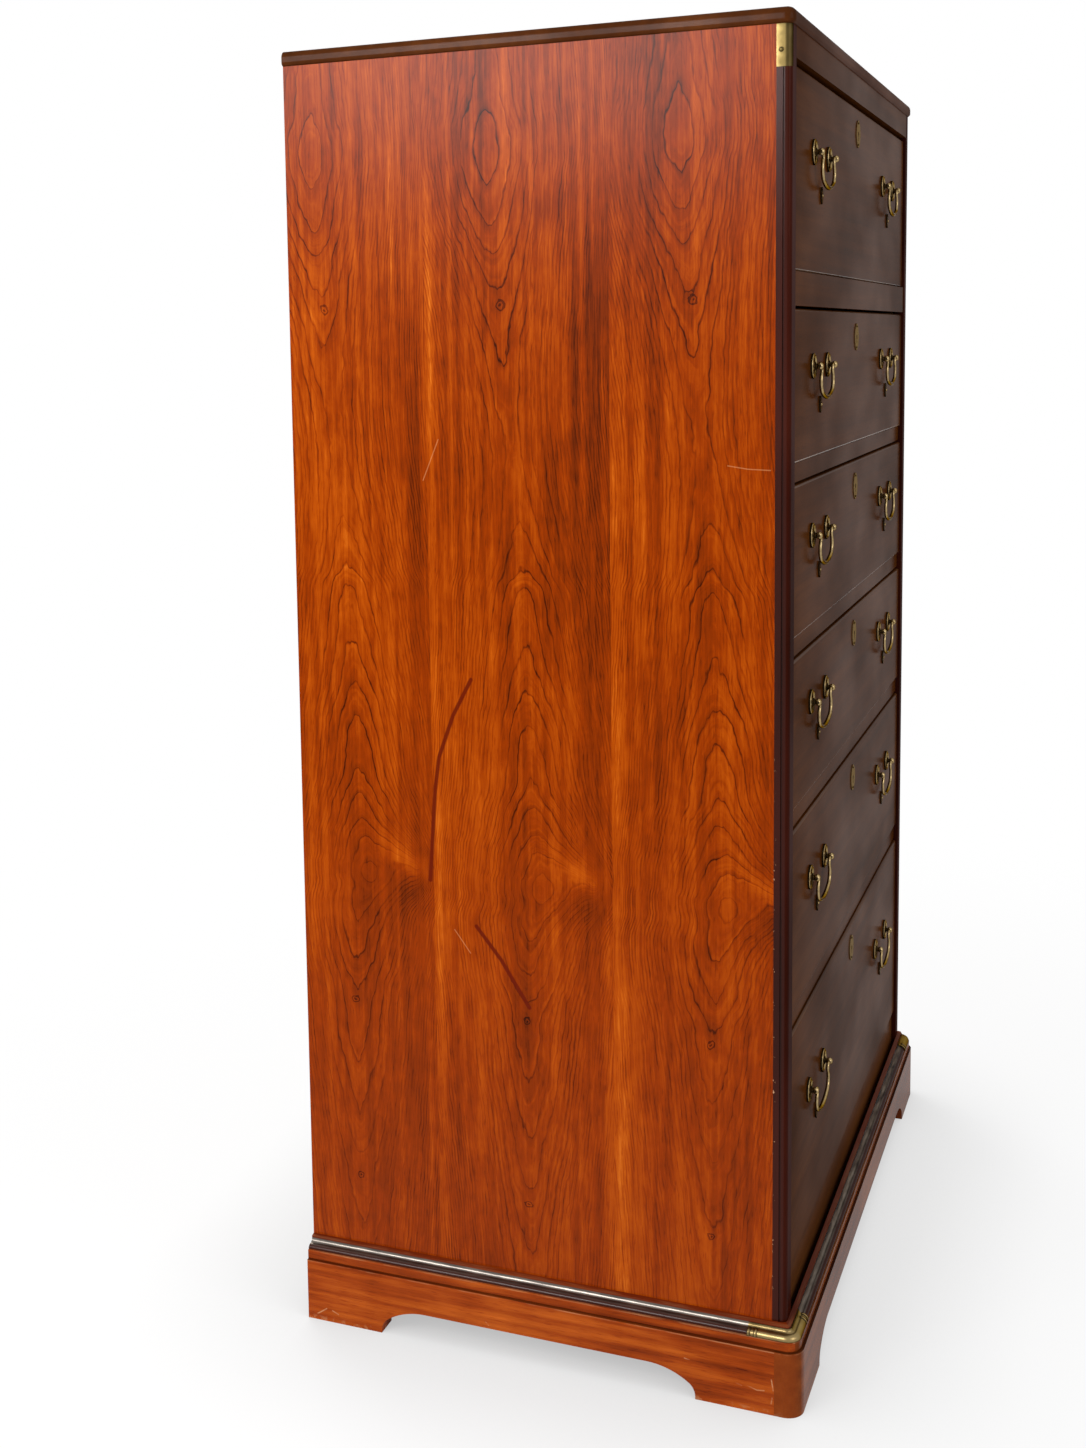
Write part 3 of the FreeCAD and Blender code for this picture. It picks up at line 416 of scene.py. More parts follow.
# Boards: what each wood looks like, dark to pale, its grain's length and width, and its polish: the least and
# the most coat, and the coat where the surface faces edgeAxis by a share between edgeFrom and edgeTo. A share
# of 2 is never reached
darkGrain = {"grain": (420, 14), "grainShare": 0.5, "pore": (22, 1.2), "poreDark": 0.06, "worn": 0}
levelEdge = {"edgeAxis": "Z", "edgeFrom": 0.3, "edgeTo": 0.97}
boards = {
    "darkMahogany": {**darkGrain, "stops": {0.2: "#331907", 0.5: "#4A260B", 0.8: "#603410"},
                     "coat": (0.1, 0.16), **levelEdge, "edgeCoat": 0.6,
                     "upShare": 0.25, "edgeRubAndHighlight": "#8A6A50", "dullEnd": (-380, -60, 0.35)},
    "topMahogany": {**darkGrain, "stops": {0.2: "#331807", 0.5: "#4A240A", 0.8: "#61320F"},
                    "coat": (0.06, 0.12), "edgeAxis": "Z", "edgeFrom": 0.97, "edgeTo": 2, "edgeCoat": 0.3},
    "postMahogany": {**darkGrain, "stops": {0.2: "#220903", 0.5: "#340F06", 0.8: "#44170A"},
                     "coat": (0.04, 0.07), "edgeAxis": "X", "edgeFrom": 0.85, "edgeTo": 2, "edgeCoat": 0.25,
                     "chipped": True},
    # the bottom rail is paler than the drawer fronts: painted light in the shade below the bottom drawer
    "railMahoganyPaintedLight": {**darkGrain, "stops": {0.2: "#3C200E", 0.5: "#532E14", 0.8: "#663C1C"},
                     "coat": (0.14, 0.2), **levelEdge, "edgeCoat": 0.6},
    "brownMahogany": {"stops": {0.2: "#4E220C", 0.5: "#743813", 0.8: "#924C1C"}, "grain": (320, 10),
                      "grainShare": 0.8, "pore": (20, 1.2), "poreDark": 0.1, "worn": 0.4,
                      "coat": (0.08, 0.12), "edgeAxis": "Y", "edgeFrom": 0.85, "edgeTo": 2, "edgeCoat": 0.36,
                      "turnColour": "#83370F"},
    "redMahogany": {"stops": {0.2: "#571B07", 0.5: "#933B0D", 0.8: "#C05F1B"}, "grain": (240, 8),
                    "grainShare": 0.9, "pore": (18, 1.2), "poreDark": 0.12, "worn": 0.5,
                    "coat": (0.1, 0.16), **levelEdge, "edgeCoat": 0.3},
    "planedOak": {"stops": {0.25: "#8E6A42", 0.5: "#B08A5A", 0.75: "#C9A676"}, "grain": (300, 7),
                  "grainShare": 1, "pore": (14, 1.1), "poreDark": 0.14, "worn": 0, "coat": None},
    "backPly": {"stops": {0.25: "#6E4B2C", 0.5: "#8C6540", 0.75: "#A47C52"}, "grain": (340, 11),
                "grainShare": 1, "pore": (20, 1.2), "poreDark": 0.1, "worn": 0, "coat": None},
}
# Planing and polish that the boards share: clouds beside the grain, pores, how the eased edges shine, and how
# they are painted paler as rub wear and painted highlight
planed = {"grainDetail": 6, "cloudLong": 0.5, "cloudWide": 8, "cloudDetail": 2, "cloudTone": (0.7, 0.15),
          "poreDetail": 2, "poreFrom": (0.56, 0.68), "upFrom": (-0.1, 0.1), "edgeSoft": 0.1,
          "turnFrom": (0.3, 0.8), "turnTo": (0, 0.6), "rubAndHighlightFrom": (0.3, 0.6), "rubAndHighlightTo": (0, 0.7),
          "shineFrom": (0.35, 0.65)}
# Arrises of the base: heights and half width of pale lines that paint highlights and wear on them, how these
# are broken up, scuffs by the height from the floor, a dark joint line with painted shadow where the moulding
# meets the plinth, and pale scratches on the left side through points (depth, height)
arrisLightAndWear = {"heights": (64.9, 75.6, 87), "half": 0.6, "rubAndHighlightNoise": ((40, 5), 3), "rubAndHighlightFrom": (0.4, 0.62),
         "scuffFrom": (1, 6), "chips": ((7, 7), 4), "chipFrom": (0.55, 0.62),
         "bare": "#C08A5E", "groove": 66.4, "grooveHalf": 0.8, "grooveShows": 0.7, "grooveDark": "#2A0E05",
         "scratches": [[(-198, 27), (-207, 25)], [(-213, 26), (-222, 23), (-229, 24)],
                       [(-236, 12), (-237, 18)], [(-238, 26), (-236, 38)], [(-150, 41), (-155, 40)],
                       [(243, 14), (256, 5)], [(229, 10), (236, 13)], [(60, 36), (57, 33)]],
         "scratchHalf": (0.2, 0.9)}
# Chips on the posts: their size, the width of the strip along the joint, and the heights where they end
postChips = {"chips": ((5, 5), 3), "chipFrom": (0.63, 0.67), "wide": 2.2, "lowFrom": (460, 700),
             "colour": "#B98A66"}


def wearAndArrisHighlights(tree, place, colour, worn, axis, offset, scratched):
    # a dark joint line with painted shadow, pale painted highlights on the arrises broken up like rubbing, the
    # feet scuffed and the side scratched
    a = arrisLightAndWear
    axes = addNode(tree, split, [place])
    height = axes.outputs["Z"]
    # a dark joint line with painted shadow where the moulding meets the plinth
    groove = addNode(tree, sums, [height, a["groove"], a["grooveHalf"]], operation="COMPARE")
    groove = addNode(tree, sums, [groove, a["grooveShows"]], **times)
    colour = addNode(tree, blend, [groove, colour, linear(a["grooveDark"])])
    rubAndHighlight = grainNoise(tree, place, axis, *a["rubAndHighlightNoise"], offset)
    rubAndHighlight = addNode(tree, span, [rubAndHighlight, *a["rubAndHighlightFrom"]])
    scuff = addNode(tree, span, [height, *a["scuffFrom"], *falling])
    chips = grainNoise(tree, place, "even", *a["chips"], offset)
    chips = addNode(tree, span, [chips, *a["chipFrom"]])
    scuff = addNode(tree, sums, [scuff, chips], **times)
    # pale lines on the arrises: painted highlights, broken up like wear
    edge = addNode(tree, sums, [height, a["heights"][0], a["half"]], operation="COMPARE")
    for at in a["heights"][1:]:
        other = addNode(tree, sums, [height, at, a["half"]], operation="COMPARE")
        edge = addNode(tree, sums, [edge, other], **larger)
    edge = addNode(tree, sums, [edge, rubAndHighlight], **times)
    edge = addNode(tree, sums, [edge, scuff], **larger)
    edge = addNode(tree, sums, [edge, worn], **times)
    if scratched:
        flat = addNode(tree, join, [axes.outputs["Y"], height, 0])
        scratch = strokeMask(tree, flat, a["scratches"], *a["scratchHalf"])
        scratch = addNode(tree, sums, [scratch, rubAndHighlight], **times)
        edge = addNode(tree, sums, [edge, scratch], **larger)
    return addNode(tree, blend, [edge, colour, linear(a["bare"])])


def chipJoint(tree, place, colour, offset):
    # a few small pale chips along the post's joint, low down
    p = postChips
    axes = addNode(tree, split, [place])
    chips = grainNoise(tree, place, "even", *p["chips"], offset)
    chips = addNode(tree, span, [chips, *p["chipFrom"]])
    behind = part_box("front_post_left")[1].y / mm - p["wide"]
    behind = addNode(tree, sums, [axes.outputs["Y"], behind], operation="GREATER_THAN")
    low = addNode(tree, span, [axes.outputs["Z"], *p["lowFrom"], *falling])
    for limit in (behind, low):
        chips = addNode(tree, sums, [chips, limit], **times)
    return addNode(tree, blend, [chips, colour, linear(p["colour"])])


def rubPolish(tree, place, cloud, colour, b):
    # a cloudy coat, thickest on the eased edges, where the colour changes too: a corner turn takes its own
    # colour, and eased edges are painted paler as rub wear and painted highlight
    normal = addNode(tree, normals).outputs["Normal"]
    faces = addNode(tree, split, [normal])
    facing = faces.outputs[b["edgeAxis"]]
    # an edge that faces up keeps only a share of the shine
    side = addNode(tree, span, [facing, *planed["upFrom"], 1, b.get("upShare", 1)])
    facing = addNode(tree, sums, [facing], operation="ABSOLUTE")
    eased = addNode(tree, span, [facing, b["edgeFrom"], b["edgeFrom"] + planed["edgeSoft"]])
    within = addNode(tree, sums, [facing, b["edgeTo"]], operation="LESS_THAN")
    for limit in (side, within):
        eased = addNode(tree, sums, [eased, limit], **times)
    if "turnColour" in b:
        turned = addNode(tree, sums, [faces.outputs["X"]], operation="ABSOLUTE")
        turned = addNode(tree, span, [turned, *planed["turnFrom"], *planed["turnTo"]])
        colour = addNode(tree, blend, [turned, colour, linear(b["turnColour"])])
    # painted highlight and rub wear: the eased edges, where rubbed, take a paler colour
    if "edgeRubAndHighlight" in b:
        rubAndHighlight = addNode(tree, span, [cloud, *planed["rubAndHighlightFrom"], *planed["rubAndHighlightTo"]])
        rubAndHighlight = addNode(tree, sums, [eased, rubAndHighlight], **times)
        colour = addNode(tree, blend, [rubAndHighlight, colour, linear(b["edgeRubAndHighlight"])])
    shine = addNode(tree, span, [cloud, *planed["shineFrom"], *b["coat"]])
    if "dullEnd" in b:  # hands have dulled one end
        low, high, share = b["dullEnd"]
        across = addNode(tree, split, [place]).outputs["X"]
        share = addNode(tree, span, [across, low, high, share, 1])
        shine = addNode(tree, sums, [shine, share], **times)
    eased = addNode(tree, sums, [eased, b["edgeCoat"]], **times)
    return colour, addNode(tree, sums, [shine, eased], **larger)


def boardWood(name, kind, axis, offset=0, scratched=False):
    # Planed solid wood, grain along one axis: soft bands of tone, short dark pores, and a rubbed finish that
    # shines most on its eased edges
    b = boards[kind]
    material, tree, shader = newMaterial(name)
    place = millimetres(tree)
    long, wide = b["grain"]
    clouds = (long * planed["cloudLong"], wide * planed["cloudWide"])
    grain = grainNoise(tree, place, axis, b["grain"], planed["grainDetail"], offset)
    cloud = grainNoise(tree, place, axis, clouds, planed["cloudDetail"], offset)
    pore = grainNoise(tree, place, axis, b["pore"], planed["poreDetail"], offset)
    pore = addNode(tree, span, [pore, *planed["poreFrom"]])
    tone = addNode(tree, sums, [cloud, *planed["cloudTone"]], **timesPlus)
    grain = addNode(tree, sums, [grain, noiseMiddle], **minus)
    for part, amount in ((grain, b["grainShare"]), (pore, -b["poreDark"])):
        tone = addNode(tree, sums, [part, amount, tone], **timesPlus)
    colour = addNode(tree, ramp, [tone], stops=b["stops"])
    # worn: how much wear and painted arris highlight the base boards get
    if b["worn"]:
        colour = wearAndArrisHighlights(tree, place, colour, b["worn"], axis, offset, scratched)
    if "chipped" in b:
        colour = chipJoint(tree, place, colour, offset)
    if b["coat"]:
        colour, shine = rubPolish(tree, place, cloud, colour, b)
        setShader(tree, shader, Coat_Weight=shine)
    bump = addNode(tree, "ShaderNodeBump", {"Height": tone, **grainBump})
    setShader(tree, shader, Base_Color=colour, Normal=bump, Roughness=0.45, Specular_IOR_Level=0.0,
              Coat_Roughness=0.2)
    return material, tree, shader, colour


# Base moulding: heights between which a metal strip lies, the dark wood below it and the ledge above it
moulding = {"stripLow": 80.2, "stripHigh": 85, "darkLow": 76.2, "soft": 0.4, "offset": 3,
            "worn": ((30, 4), 3), "strip": {0.3: "#48423E", 0.7: "#7A726A"},
            "edge": "#6E6054", "dark": "#38180F", "ledge": "#5E1E0C", "ledgeShows": 0.7,
            "roughTo": (0.45, 0.29)}


def beadedMoulding(name, kind, axis):
    # Mahogany, stained dark below a bronzed strip: olive grey, with one long white highlight
    m = moulding
    soft = m["soft"]
    material, tree, shader, wood = boardWood(name, kind, axis, m["offset"])
    place = millimetres(tree)
    height = addNode(tree, split, [place]).outputs["Z"]
    bands = []
    for low, high in ((m["stripLow"], m["stripHigh"]), (m["darkLow"], m["stripHigh"])):
        above = addNode(tree, span, [height, low - soft, low + soft])
        below = addNode(tree, span, [height, high - soft, high + soft, *falling])
        bands.append(addNode(tree, sums, [above, below], **times))
    strip, dark = bands
    worn = grainNoise(tree, place, axis, *m["worn"])
    bronze = addNode(tree, ramp, [worn], stops=m["strip"])
    ledge = addNode(tree, span, [height, m["stripHigh"], m["stripHigh"] + soft, 0, m["ledgeShows"]])
    colour = addNode(tree, blend, [ledge, wood, linear(m["ledge"])])
    colour = addNode(tree, blend, [dark, colour, linear(m["dark"])])
    colour = addNode(tree, blend, [strip, colour, bronze])
    rough = addNode(tree, span, [strip, 0, 1, *m["roughTo"]])
    setShader(tree, shader, Base_Color=colour, Metallic=strip, Roughness=rough,
              Specular_Tint=linear(m["edge"]))
    return material


# Aged brass: hands polish the pulls little, and the corners more. The edge tint keeps it dark at a low angle.
# frontFacingDarkReflection darkens what faces the front as a painted dark reflection, plateBright brightens
# within plateHalf of the chest's middle, and frontPaintedShade darkens the corners towards the front as
# painted shade
plainBrass = {"dull": "#2C2212", "mottle": ((14, 14), 3), "frontFacingDarkReflection": 0, "plateHalf": 0, "plateBright": 0,
              "frontPaintedShade": 0}
brassWear = {
    "antiqueBrass": {"bright": "#A48E66", "plain": "#4E3E28", "dull": "#150F08", "edge": "#8A7A60",
                     "mottle": ((3, 3), 3), "rough": (0.42, 0.18), "frontFacingDarkReflection": 0.2, "plateHalf": 20,
                     "plateBright": 0.45, "frontPaintedShade": 0},
    "capBrass": {**plainBrass, "bright": "#8E7A52", "plain": "#5E4E30", "edge": "#8C7E62",
                 "rough": (0.5, 0.3)},
    "cornerBrass": {**plainBrass, "bright": "#8A764A", "plain": "#5C4E2E", "edge": "#82755A",
                    "rough": (0.5, 0.34), "frontPaintedShade": 0.5},
}
# Patina: how mottles and crevices move the tone, the painted dark reflection on faces that look to the front,
# and where on it brass is dull, plain and bright
patina = {"mottleTone": (0.45, -0.225), "crevice": 5, "creviceSamples": 8,
          "frontFacingFrom": (-0.9, -0.98), "dullAt": 0.35, "plainAt": 0.8, "brightAt": 1, "roughFrom": (0.4, 1)}


def agedBrass(name):
    # Cast brass under old lacquer: olive gold on the high spots, brown-black in the corners
    b = brassWear[name]
    material, tree, shader = newMaterial(name)
    place = millimetres(tree)
    axes = addNode(tree, split, [place])
    mottle = grainNoise(tree, place, "even", *b["mottle"])
    crevice = addNode(tree, crevices, {"Distance": patina["crevice"] * mm}, samples=patina["creviceSamples"])
    tone = addNode(tree, sums, [mottle, *patina["mottleTone"]], **timesPlus)
    tone = addNode(tree, sums, [crevice.outputs["AO"], tone], operation="ADD")
    # a painted dark reflection on the faces that look to the front
    normal = addNode(tree, normals).outputs["Normal"]
    facing = addNode(tree, split, [normal]).outputs["Y"]
    flat = addNode(tree, span, [facing, *patina["frontFacingFrom"], 0, b["frontFacingDarkReflection"]])
    tone = addNode(tree, sums, [tone, flat], **minus)
    # the keyhole plates, at the middle of the chest, are kept brighter
    plate = addNode(tree, sums, [axes.outputs["X"], 0, b["plateHalf"]], operation="COMPARE")
    tone = addNode(tree, sums, [plate, b["plateBright"], tone], **timesPlus)
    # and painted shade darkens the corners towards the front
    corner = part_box("top_corner_left")
    back, fore = corner[1].y / mm, corner[0].y / mm
    front = addNode(tree, span, [axes.outputs["Y"], back, fore, 0, b["frontPaintedShade"]])
    tone = addNode(tree, sums, [tone, front], **minus)
    stops = {patina[kind + "At"]: b[kind] for kind in ("dull", "plain", "bright")}
    colour = addNode(tree, ramp, [tone], stops=stops)
    rough = addNode(tree, span, [tone, *patina["roughFrom"], *b["rough"]])
    setShader(tree, shader, Base_Color=colour, Roughness=rough, Metallic=1.0, Specular_Tint=linear(b["edge"]))
    return material


zinc = {"spangle": ((2, 2), 3), "stops": {0.3: "#77787A", 0.7: "#A5A6A6"}}


def zincSteel(name):
    # Zinc plated steel of nuts and nails: dull grey, slightly spangled
    material, tree, shader = newMaterial(name)
    spangle = grainNoise(tree, millimetres(tree), "even", *zinc["spangle"])
    colour = addNode(tree, ramp, [spangle], stops=zinc["stops"])
    setShader(tree, shader, Base_Color=colour, Metallic=1.0, Roughness=0.42)
    return material


# Finishes of the boards: material, wood, the grain's axis, its offset, and whether the board is scratched
boardFinishes = {
    "darkAcross": ("dark_mahogany_across", "darkMahogany", "x"),
    "darkUpright": ("dark_mahogany_upright", "postMahogany", "z", 5),
    "darkTop": ("dark_mahogany_top", "topMahogany", "x", 8),
    "railAcross": ("brown_mahogany_rail", "railMahoganyPaintedLight", "x", 6),
    "brownAcross": ("brown_mahogany_across", "brownMahogany", "x"),
    "redLeft": ("red_mahogany_left", "redMahogany", "y", 11, True),
    "redRight": ("red_mahogany_right", "redMahogany", "y", 2),
    "oakAcross": ("planed_oak_across", "planedOak", "x"),
    "oakDeep": ("planed_oak_deep", "planedOak", "y", 4),
    "oakUpright": ("planed_oak_upright", "planedOak", "z", 6),
    "ply": ("back_ply", "backPly", "z"),
}
finishes = {kind: boardWood(*finish)[0] for kind, finish in boardFinishes.items()}
finishes["sideLeft"] = cherryVeneer("cherry_veneer_left", True)
finishes["sideRight"] = cherryVeneer("cherry_veneer_right", False)
finishes["mouldingAcross"] = beadedMoulding("moulding_across", "brownMahogany", "x")
finishes["mouldingDeep"] = beadedMoulding("moulding_deep", "redMahogany", "y")
for kind in brassWear:
    finishes[kind] = agedBrass(kind)
finishes["steel"] = zincSteel("zinc_steel")
finishOf = {
    "side_panel_left": "sideLeft", "side_panel_right": "sideRight",
    "top_board": "darkTop", "bottom_rail": "railAcross",
    "base_front": "brownAcross", "base_side_left": "redLeft", "base_side_right": "redRight",
    "base_moulding_front": "mouldingAcross", "back_panel": "ply", "dust_panels": "ply",
    "drawer_runners": "oakDeep", "top_kickers": "oakDeep",
    "base_back": "oakAcross", "glue_blocks": "oakUpright",
}
for part, kind in {"front_post_": "darkUpright", "base_moulding_": "mouldingDeep",
                   "top_corner_": "cornerBrass", "base_cap_": "capBrass"}.items():
    finishOf.update({part + side: kind for side in sides})
slotFinish = {"dark_mahogany": "darkAcross", "plain_oak": "oakDeep", "brass": "antiqueBrass"}
slotOfNode = {part["node"]: part["material_slot"] for part in frame["record"]["subparts"]}
for node, piece in frame["nodes"].items():
    finish = finishes[finishOf.get(node) or slotFinish[slotOfNode[node]]]
    piece.data.materials.clear()
    piece.data.materials.append(finish)
print("materials on", len(frame["nodes"]), "nodes")

weld = 0.01  # vertices nearer than this are one


def turnProfile(shape, profile, place, axis, steps, closed=False):
    # a profile of (radius, height) turned about an axis through a place
    axis = Vector(axis)
    side = axis.orthogonal().normalized()
    corners = [shape.verts.new(place + side * radius * mm + axis * rise * mm) for radius, rise in profile]
    ends = list(zip(corners, corners[1:])) + ([(corners[-1], corners[0])] if closed else [])
    edges = [shape.edges.new(pair) for pair in ends]
    bmesh.ops.spin(shape, geom=corners + edges, cent=place, axis=axis, angle=math.tau, steps=steps,
                   use_merge=True)


def addPiece(name, shape, finish, body, smooth=True):
    bmesh.ops.remove_doubles(shape, verts=shape.verts, dist=weld * mm)
    bmesh.ops.recalc_face_normals(shape, faces=shape.faces)
    mesh = bpy.data.meshes.new(name)
    shape.to_mesh(mesh)
    shape.free()
    for face in mesh.polygons:
        face.use_smooth = smooth
    mesh.materials.append(finishes[finish])
    piece = bpy.data.objects.new(name, mesh)
    scene.collection.objects.link(piece)
    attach(piece, body)


# Small brass pins: two on each keyhole plate, and one on the side of each top corner
pins = {"plateDrop": 28, "plateThick": 1, "fromKeyhole": 11.6, "cornerDown": 23, "cornerIn": 9.5,
        "plateProfile": [(1.1, 0), (1.1, 0.2), (0.75, 0.6), (0, 0.75)], "plateSteps": 10,
        "cornerProfile": [(2.1, 0), (2.1, 0.15), (1.6, 0.75), (0.8, 1.1), (0, 1.2)], "cornerSteps": 16}


def pinPlates():
    for n in drawers:
        low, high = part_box("drawer_%d_front" % n)
        shape = bmesh.new()
        for way in (-1, 1):
            level = high.z - (pins["plateDrop"] + way * pins["fromKeyhole"]) * mm
            place = Vector((0, low.y - pins["plateThick"] * mm, level))
            turnProfile(shape, pins["plateProfile"], place, (0, -1, 0), pins["plateSteps"])
        addPiece("drawer_%d_plate_pins" % n, shape, "cornerBrass", "drawer_%d" % n)


def pinCorners():
    for side, sign in sides.items():
        low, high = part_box("top_corner_" + side)
        outside = high.x if sign > 0 else low.x
        level = high.z - pins["cornerDown"] * mm
        shape = bmesh.new()
        place = Vector((outside, low.y + pins["cornerIn"] * mm, level))
        turnProfile(shape, pins["cornerProfile"], place, (sign, 0, 0), pins["cornerSteps"])
        addPiece("top_corner_pins_" + side, shape, "cornerBrass", "carcass")


# Nuts and washers on the pull posts, inside the drawers
nuts = {"halfSpan": 41, "frontThick": 20, "washerSteps": 20, "nutSides": 6,
        "washer": [(2.7, 0), (6.5, 0), (6.5, 1), (2.7, 1)],
        "nut": [(2.9, 1), (4.2, 1), (4.6, 1.4), (4.6, 3.9), (4.2, 4.3), (2.9, 4.3)]}


def fastenPulls():
    for joint in frame["record"]["behaviour"]["joints"]:
        if not joint["name"].endswith("_swing"):
            continue
        x, _, z = joint["pos_m"]
        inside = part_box(joint["parent"] + "_front")[0].y + nuts["frontThick"] * mm
        shape = bmesh.new()
        for way in (-1, 1):
            place = Vector((x + way * nuts["halfSpan"] * mm, inside, z))
            turnProfile(shape, nuts["washer"], place, (0, 1, 0), nuts["washerSteps"], closed=True)
            turnProfile(shape, nuts["nut"], place, (0, 1, 0), nuts["nutSides"], closed=True)
        addPiece(joint["child"] + "_nuts", shape, "steel", joint["parent"], smooth=False)


# Round nail heads along the edges of the back
nails = {"inset": 9, "across": 7, "up": 11, "steps": 10,
         "profile": [(2.6, 0), (2.6, 0.2), (1.9, 0.6), (0, 0.8)]}


def nailBack():
    low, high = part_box("back_panel")
    inset = nails["inset"] * mm
    left, right, bottom, top = low.x + inset, high.x - inset, low.z + inset, high.z - inset
    places = []
    for i in range(nails["across"]):
        x = left + (right - left) * i / (nails["across"] - 1)
        places += [(x, bottom), (x, top)]
    for i in range(1, nails["up"] - 1):
        z = bottom + (top - bottom) * i / (nails["up"] - 1)
        places += [(left, z), (right, z)]
    shape = bmesh.new()
    for x, z in places:
        turnProfile(shape, nails["profile"], Vector((x, high.y, z)), (0, 1, 0), nails["steps"])
    addPiece("back_nails", shape, "steel", "carcass")


# Ribbed ends of the brass caps on the base moulding
ribs = {"beadRadius": 4.5, "capThick": 1, "proud": 0.7, "arc": 100, "rise": 10,
        "starts": (36.5, 43.2), "length": 2.6, "steps": 10}


def ribCaps():
    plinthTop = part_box("base_moulding_left")[0].z
    deep = (ribs["beadRadius"] + ribs["capThick"]) * mm
    reach = deep + ribs["proud"] * mm
    up = Vector((0, 0, 1))
    for side, sign in sides.items():
        low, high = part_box("base_cap_" + side)
        inside, outside = (low.x, high.x) if sign > 0 else (high.x, low.x)
        end = Vector((inside, high.y, 0))
        shape = bmesh.new()
        # each leg: the way it runs, the way it faces, and where its bead's middle lies
        legs = (((0, 1, 0), (sign, 0, 0), Vector((outside - sign * deep, 0, 0))),
                ((-sign, 0, 0), (0, -1, 0), Vector((0, low.y + deep, 0))))
        for run, face, middle in legs:
            run, face = Vector(run), Vector(face)
            for start in ribs["starts"]:
                # the last rib ends with the leg
                along = run * (end.dot(run) - (ribs["starts"][-1] + ribs["length"] - start) * mm)
                centre = middle + along + Vector((0, 0, plinthTop + ribs["rise"] * mm))
                first = shape.verts.new(centre + face * reach)
                bmesh.ops.spin(shape, geom=[first], cent=centre, axis=face.cross(up),
                               angle=math.radians(ribs["arc"]), steps=ribs["steps"])
                chain = [e for e in shape.edges if not e.link_faces]
                wide = bmesh.ops.extrude_edge_only(shape, edges=chain)
                moved = [v for v in wide["geom"] if isinstance(v, bmesh.types.BMVert)]
                bmesh.ops.translate(shape, verts=moved, vec=run * ribs["length"] * mm)
        bmesh.ops.recalc_face_normals(shape, faces=shape.faces)
        bmesh.ops.solidify(shape, geom=shape.faces, thickness=ribs["proud"] * mm)
        addPiece("base_cap_ribs_" + side, shape, "capBrass", "carcass")


pinPlates()
pinCorners()
fastenPulls()
nailBack()
ribCaps()
print("pins, nuts, nails and ribs added")

# Stage: pale paper floor, soft studio light, and the camera at the photograph's place. The paper glows to the
# white of the background over the distances glowFrom, and a painted contact shadow darkens it near the chest
stage = {"floorHalf": 30, "floorColour": "#FBFBFB", "fibreColour": "#F8F8F8", "white": "#FFFFFF",
         "fibre": ((3, 3), 2), "nearGlow": 0.88, "glowFrom": (0.5, 1.8), "ambient": 0.36,
         "paintedContactShadow": 0.25, "paintedContactShadowSamples": 16, "paintedContactShadowDark": 0.5}
lamps = {
    "key": {"place": (-2.4, 0.75, 1.84), "aim": (-0.4, 0.0, 0.75), "size": (1.2, 0.8), "power": 52},
    "front": {"place": (-1.2, -2.8, 2.1), "aim": (0.0, -0.2, 0.7), "size": (1.6, 1.6), "power": 24},
    "back": {"place": (2.3, 2.4, 2.4), "aim": (0.0, 0.0, 0.7), "size": (1.8, 1.8), "power": 85},
}
camera = {"place": (-2.0723, -0.56435, 1.0466), "heading": 66.967, "tilt": -6.441, "roll": -1.149,
          "focalPixels": 1800.4, "axisPixel": (400, 547.4), "photoPixels": (1086, 1448), "film": 36}


def seenDirectly(tree):
    # 1 for camera, mirror and glass rays
    ray = addNode(tree, "ShaderNodeLightPath")
    seen = ray.outputs["Is Camera Ray"]
    for kind in ("Is Glossy Ray", "Is Transmission Ray"):
        seen = addNode(tree, sums, [seen, ray.outputs[kind]], **larger)
    return seen


def setWorld():
    world = bpy.data.worlds.new("studio")
    scene.world = world
    world.use_nodes = True
    tree = world.node_tree
    tree.nodes.clear()
    white = linear(stage["white"])
    soft = addNode(tree, "ShaderNodeBackground", {"Color": white, "Strength": stage["ambient"]})
    bright = addNode(tree, "ShaderNodeBackground", {"Color": white, "Strength": 1})
    both = addNode(tree, "ShaderNodeMixShader", [seenDirectly(tree), soft, bright])
    addNode(tree, "ShaderNodeOutputWorld", [both])


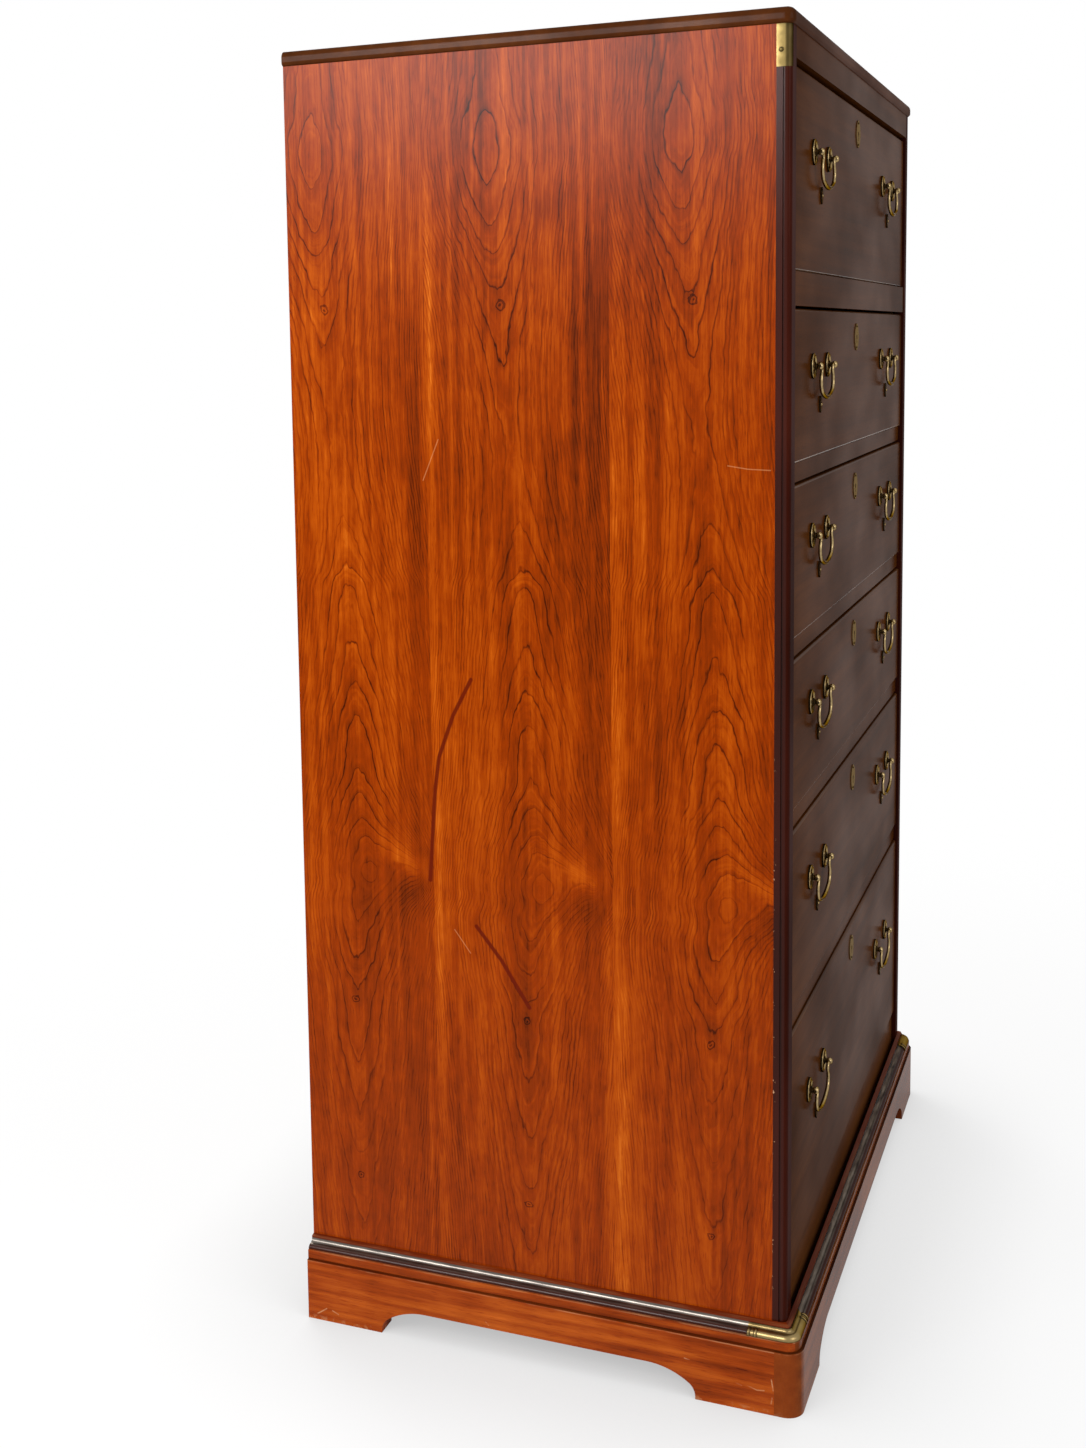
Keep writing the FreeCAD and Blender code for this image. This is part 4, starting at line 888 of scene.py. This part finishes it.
def layFloor():
    shape = bmesh.new()
    bmesh.ops.create_grid(shape, x_segments=1, y_segments=1, size=stage["floorHalf"])
    mesh = bpy.data.meshes.new("paper_floor")
    shape.to_mesh(mesh)
    shape.free()
    floor = bpy.data.objects.new("paper_floor", mesh)
    scene.collection.objects.link(floor)
    # Matt white paper: an even pale grey that is lost in the background
    material, tree, shader = newMaterial("paper_floor")
    fibre = grainNoise(tree, millimetres(tree), "even", *stage["fibre"])
    colour = addNode(tree, blend, [fibre, linear(stage["floorColour"]), linear(stage["fibreColour"])])
    setShader(tree, shader, Base_Color=colour, Roughness=0.9, Specular_IOR_Level=0.0)
    # the paper brightens to the white of the background, and keeps the shadow near the chest
    place = addNode(tree, "ShaderNodeTexCoord").outputs["Object"]
    away = addNode(tree, vectors, [place], operation="LENGTH").outputs["Value"]
    brighten = addNode(tree, span, [away, *stage["glowFrom"], stage["nearGlow"], 1], **softly)
    seen = addNode(tree, sums, [seenDirectly(tree), brighten], **times)
    # and a painted contact shadow darkens it where the chest stands on it
    paintedContactShadow = addNode(tree, crevices, {"Distance": stage["paintedContactShadow"]}, samples=stage["paintedContactShadowSamples"])
    paintedContactShadow = addNode(tree, span, [paintedContactShadow.outputs["AO"], 0, 1, stage["paintedContactShadowDark"], 1])
    glow = addNode(tree, "ShaderNodeEmission", {"Color": linear(stage["white"]), "Strength": paintedContactShadow})
    both = addNode(tree, "ShaderNodeMixShader", [seen, shader, glow])
    tree.links.new(both.outputs[0], tree.nodes["Material Output"].inputs["Surface"])
    mesh.materials.append(material)


def hangLamps():
    for name, lamp in lamps.items():
        light = bpy.data.lights.new(name + "_softbox", "AREA")
        light.shape = "RECTANGLE"
        light.size, light.size_y = lamp["size"]
        light.energy = lamp["power"]
        box = bpy.data.objects.new(name + "_softbox", light)
        box.location = lamp["place"]
        box.rotation_euler = (Vector(lamp["aim"]) - Vector(lamp["place"])).to_track_quat("-Z", "Y").to_euler()
        box.visible_camera = False
        scene.collection.objects.link(box)


def setCamera():
    c = camera
    width, height = c["photoPixels"]
    eye = bpy.data.cameras.new("photo_view")
    eye.lens = c["focalPixels"] * c["film"] / height
    eye.sensor_width = c["film"]  # on the taller side, as the frame is upright
    eye.shift_x = (width / 2 - c["axisPixel"][0]) / height
    eye.shift_y = (c["axisPixel"][1] - height / 2) / height
    view = bpy.data.objects.new("photo_view", eye)
    turn = Euler((math.radians(90 + c["tilt"]), 0, -math.radians(c["heading"]))).to_matrix()
    turn = turn @ Matrix.Rotation(math.radians(c["roll"]), 3, "Z")
    view.matrix_world = Matrix.Translation(c["place"]) @ turn.to_4x4()
    scene.collection.objects.link(view)
    scene.camera = view


setWorld()
layFloor()
hangLamps()
setCamera()
scene.view_settings.view_transform = "Standard"
print("stage, lamps and camera set")
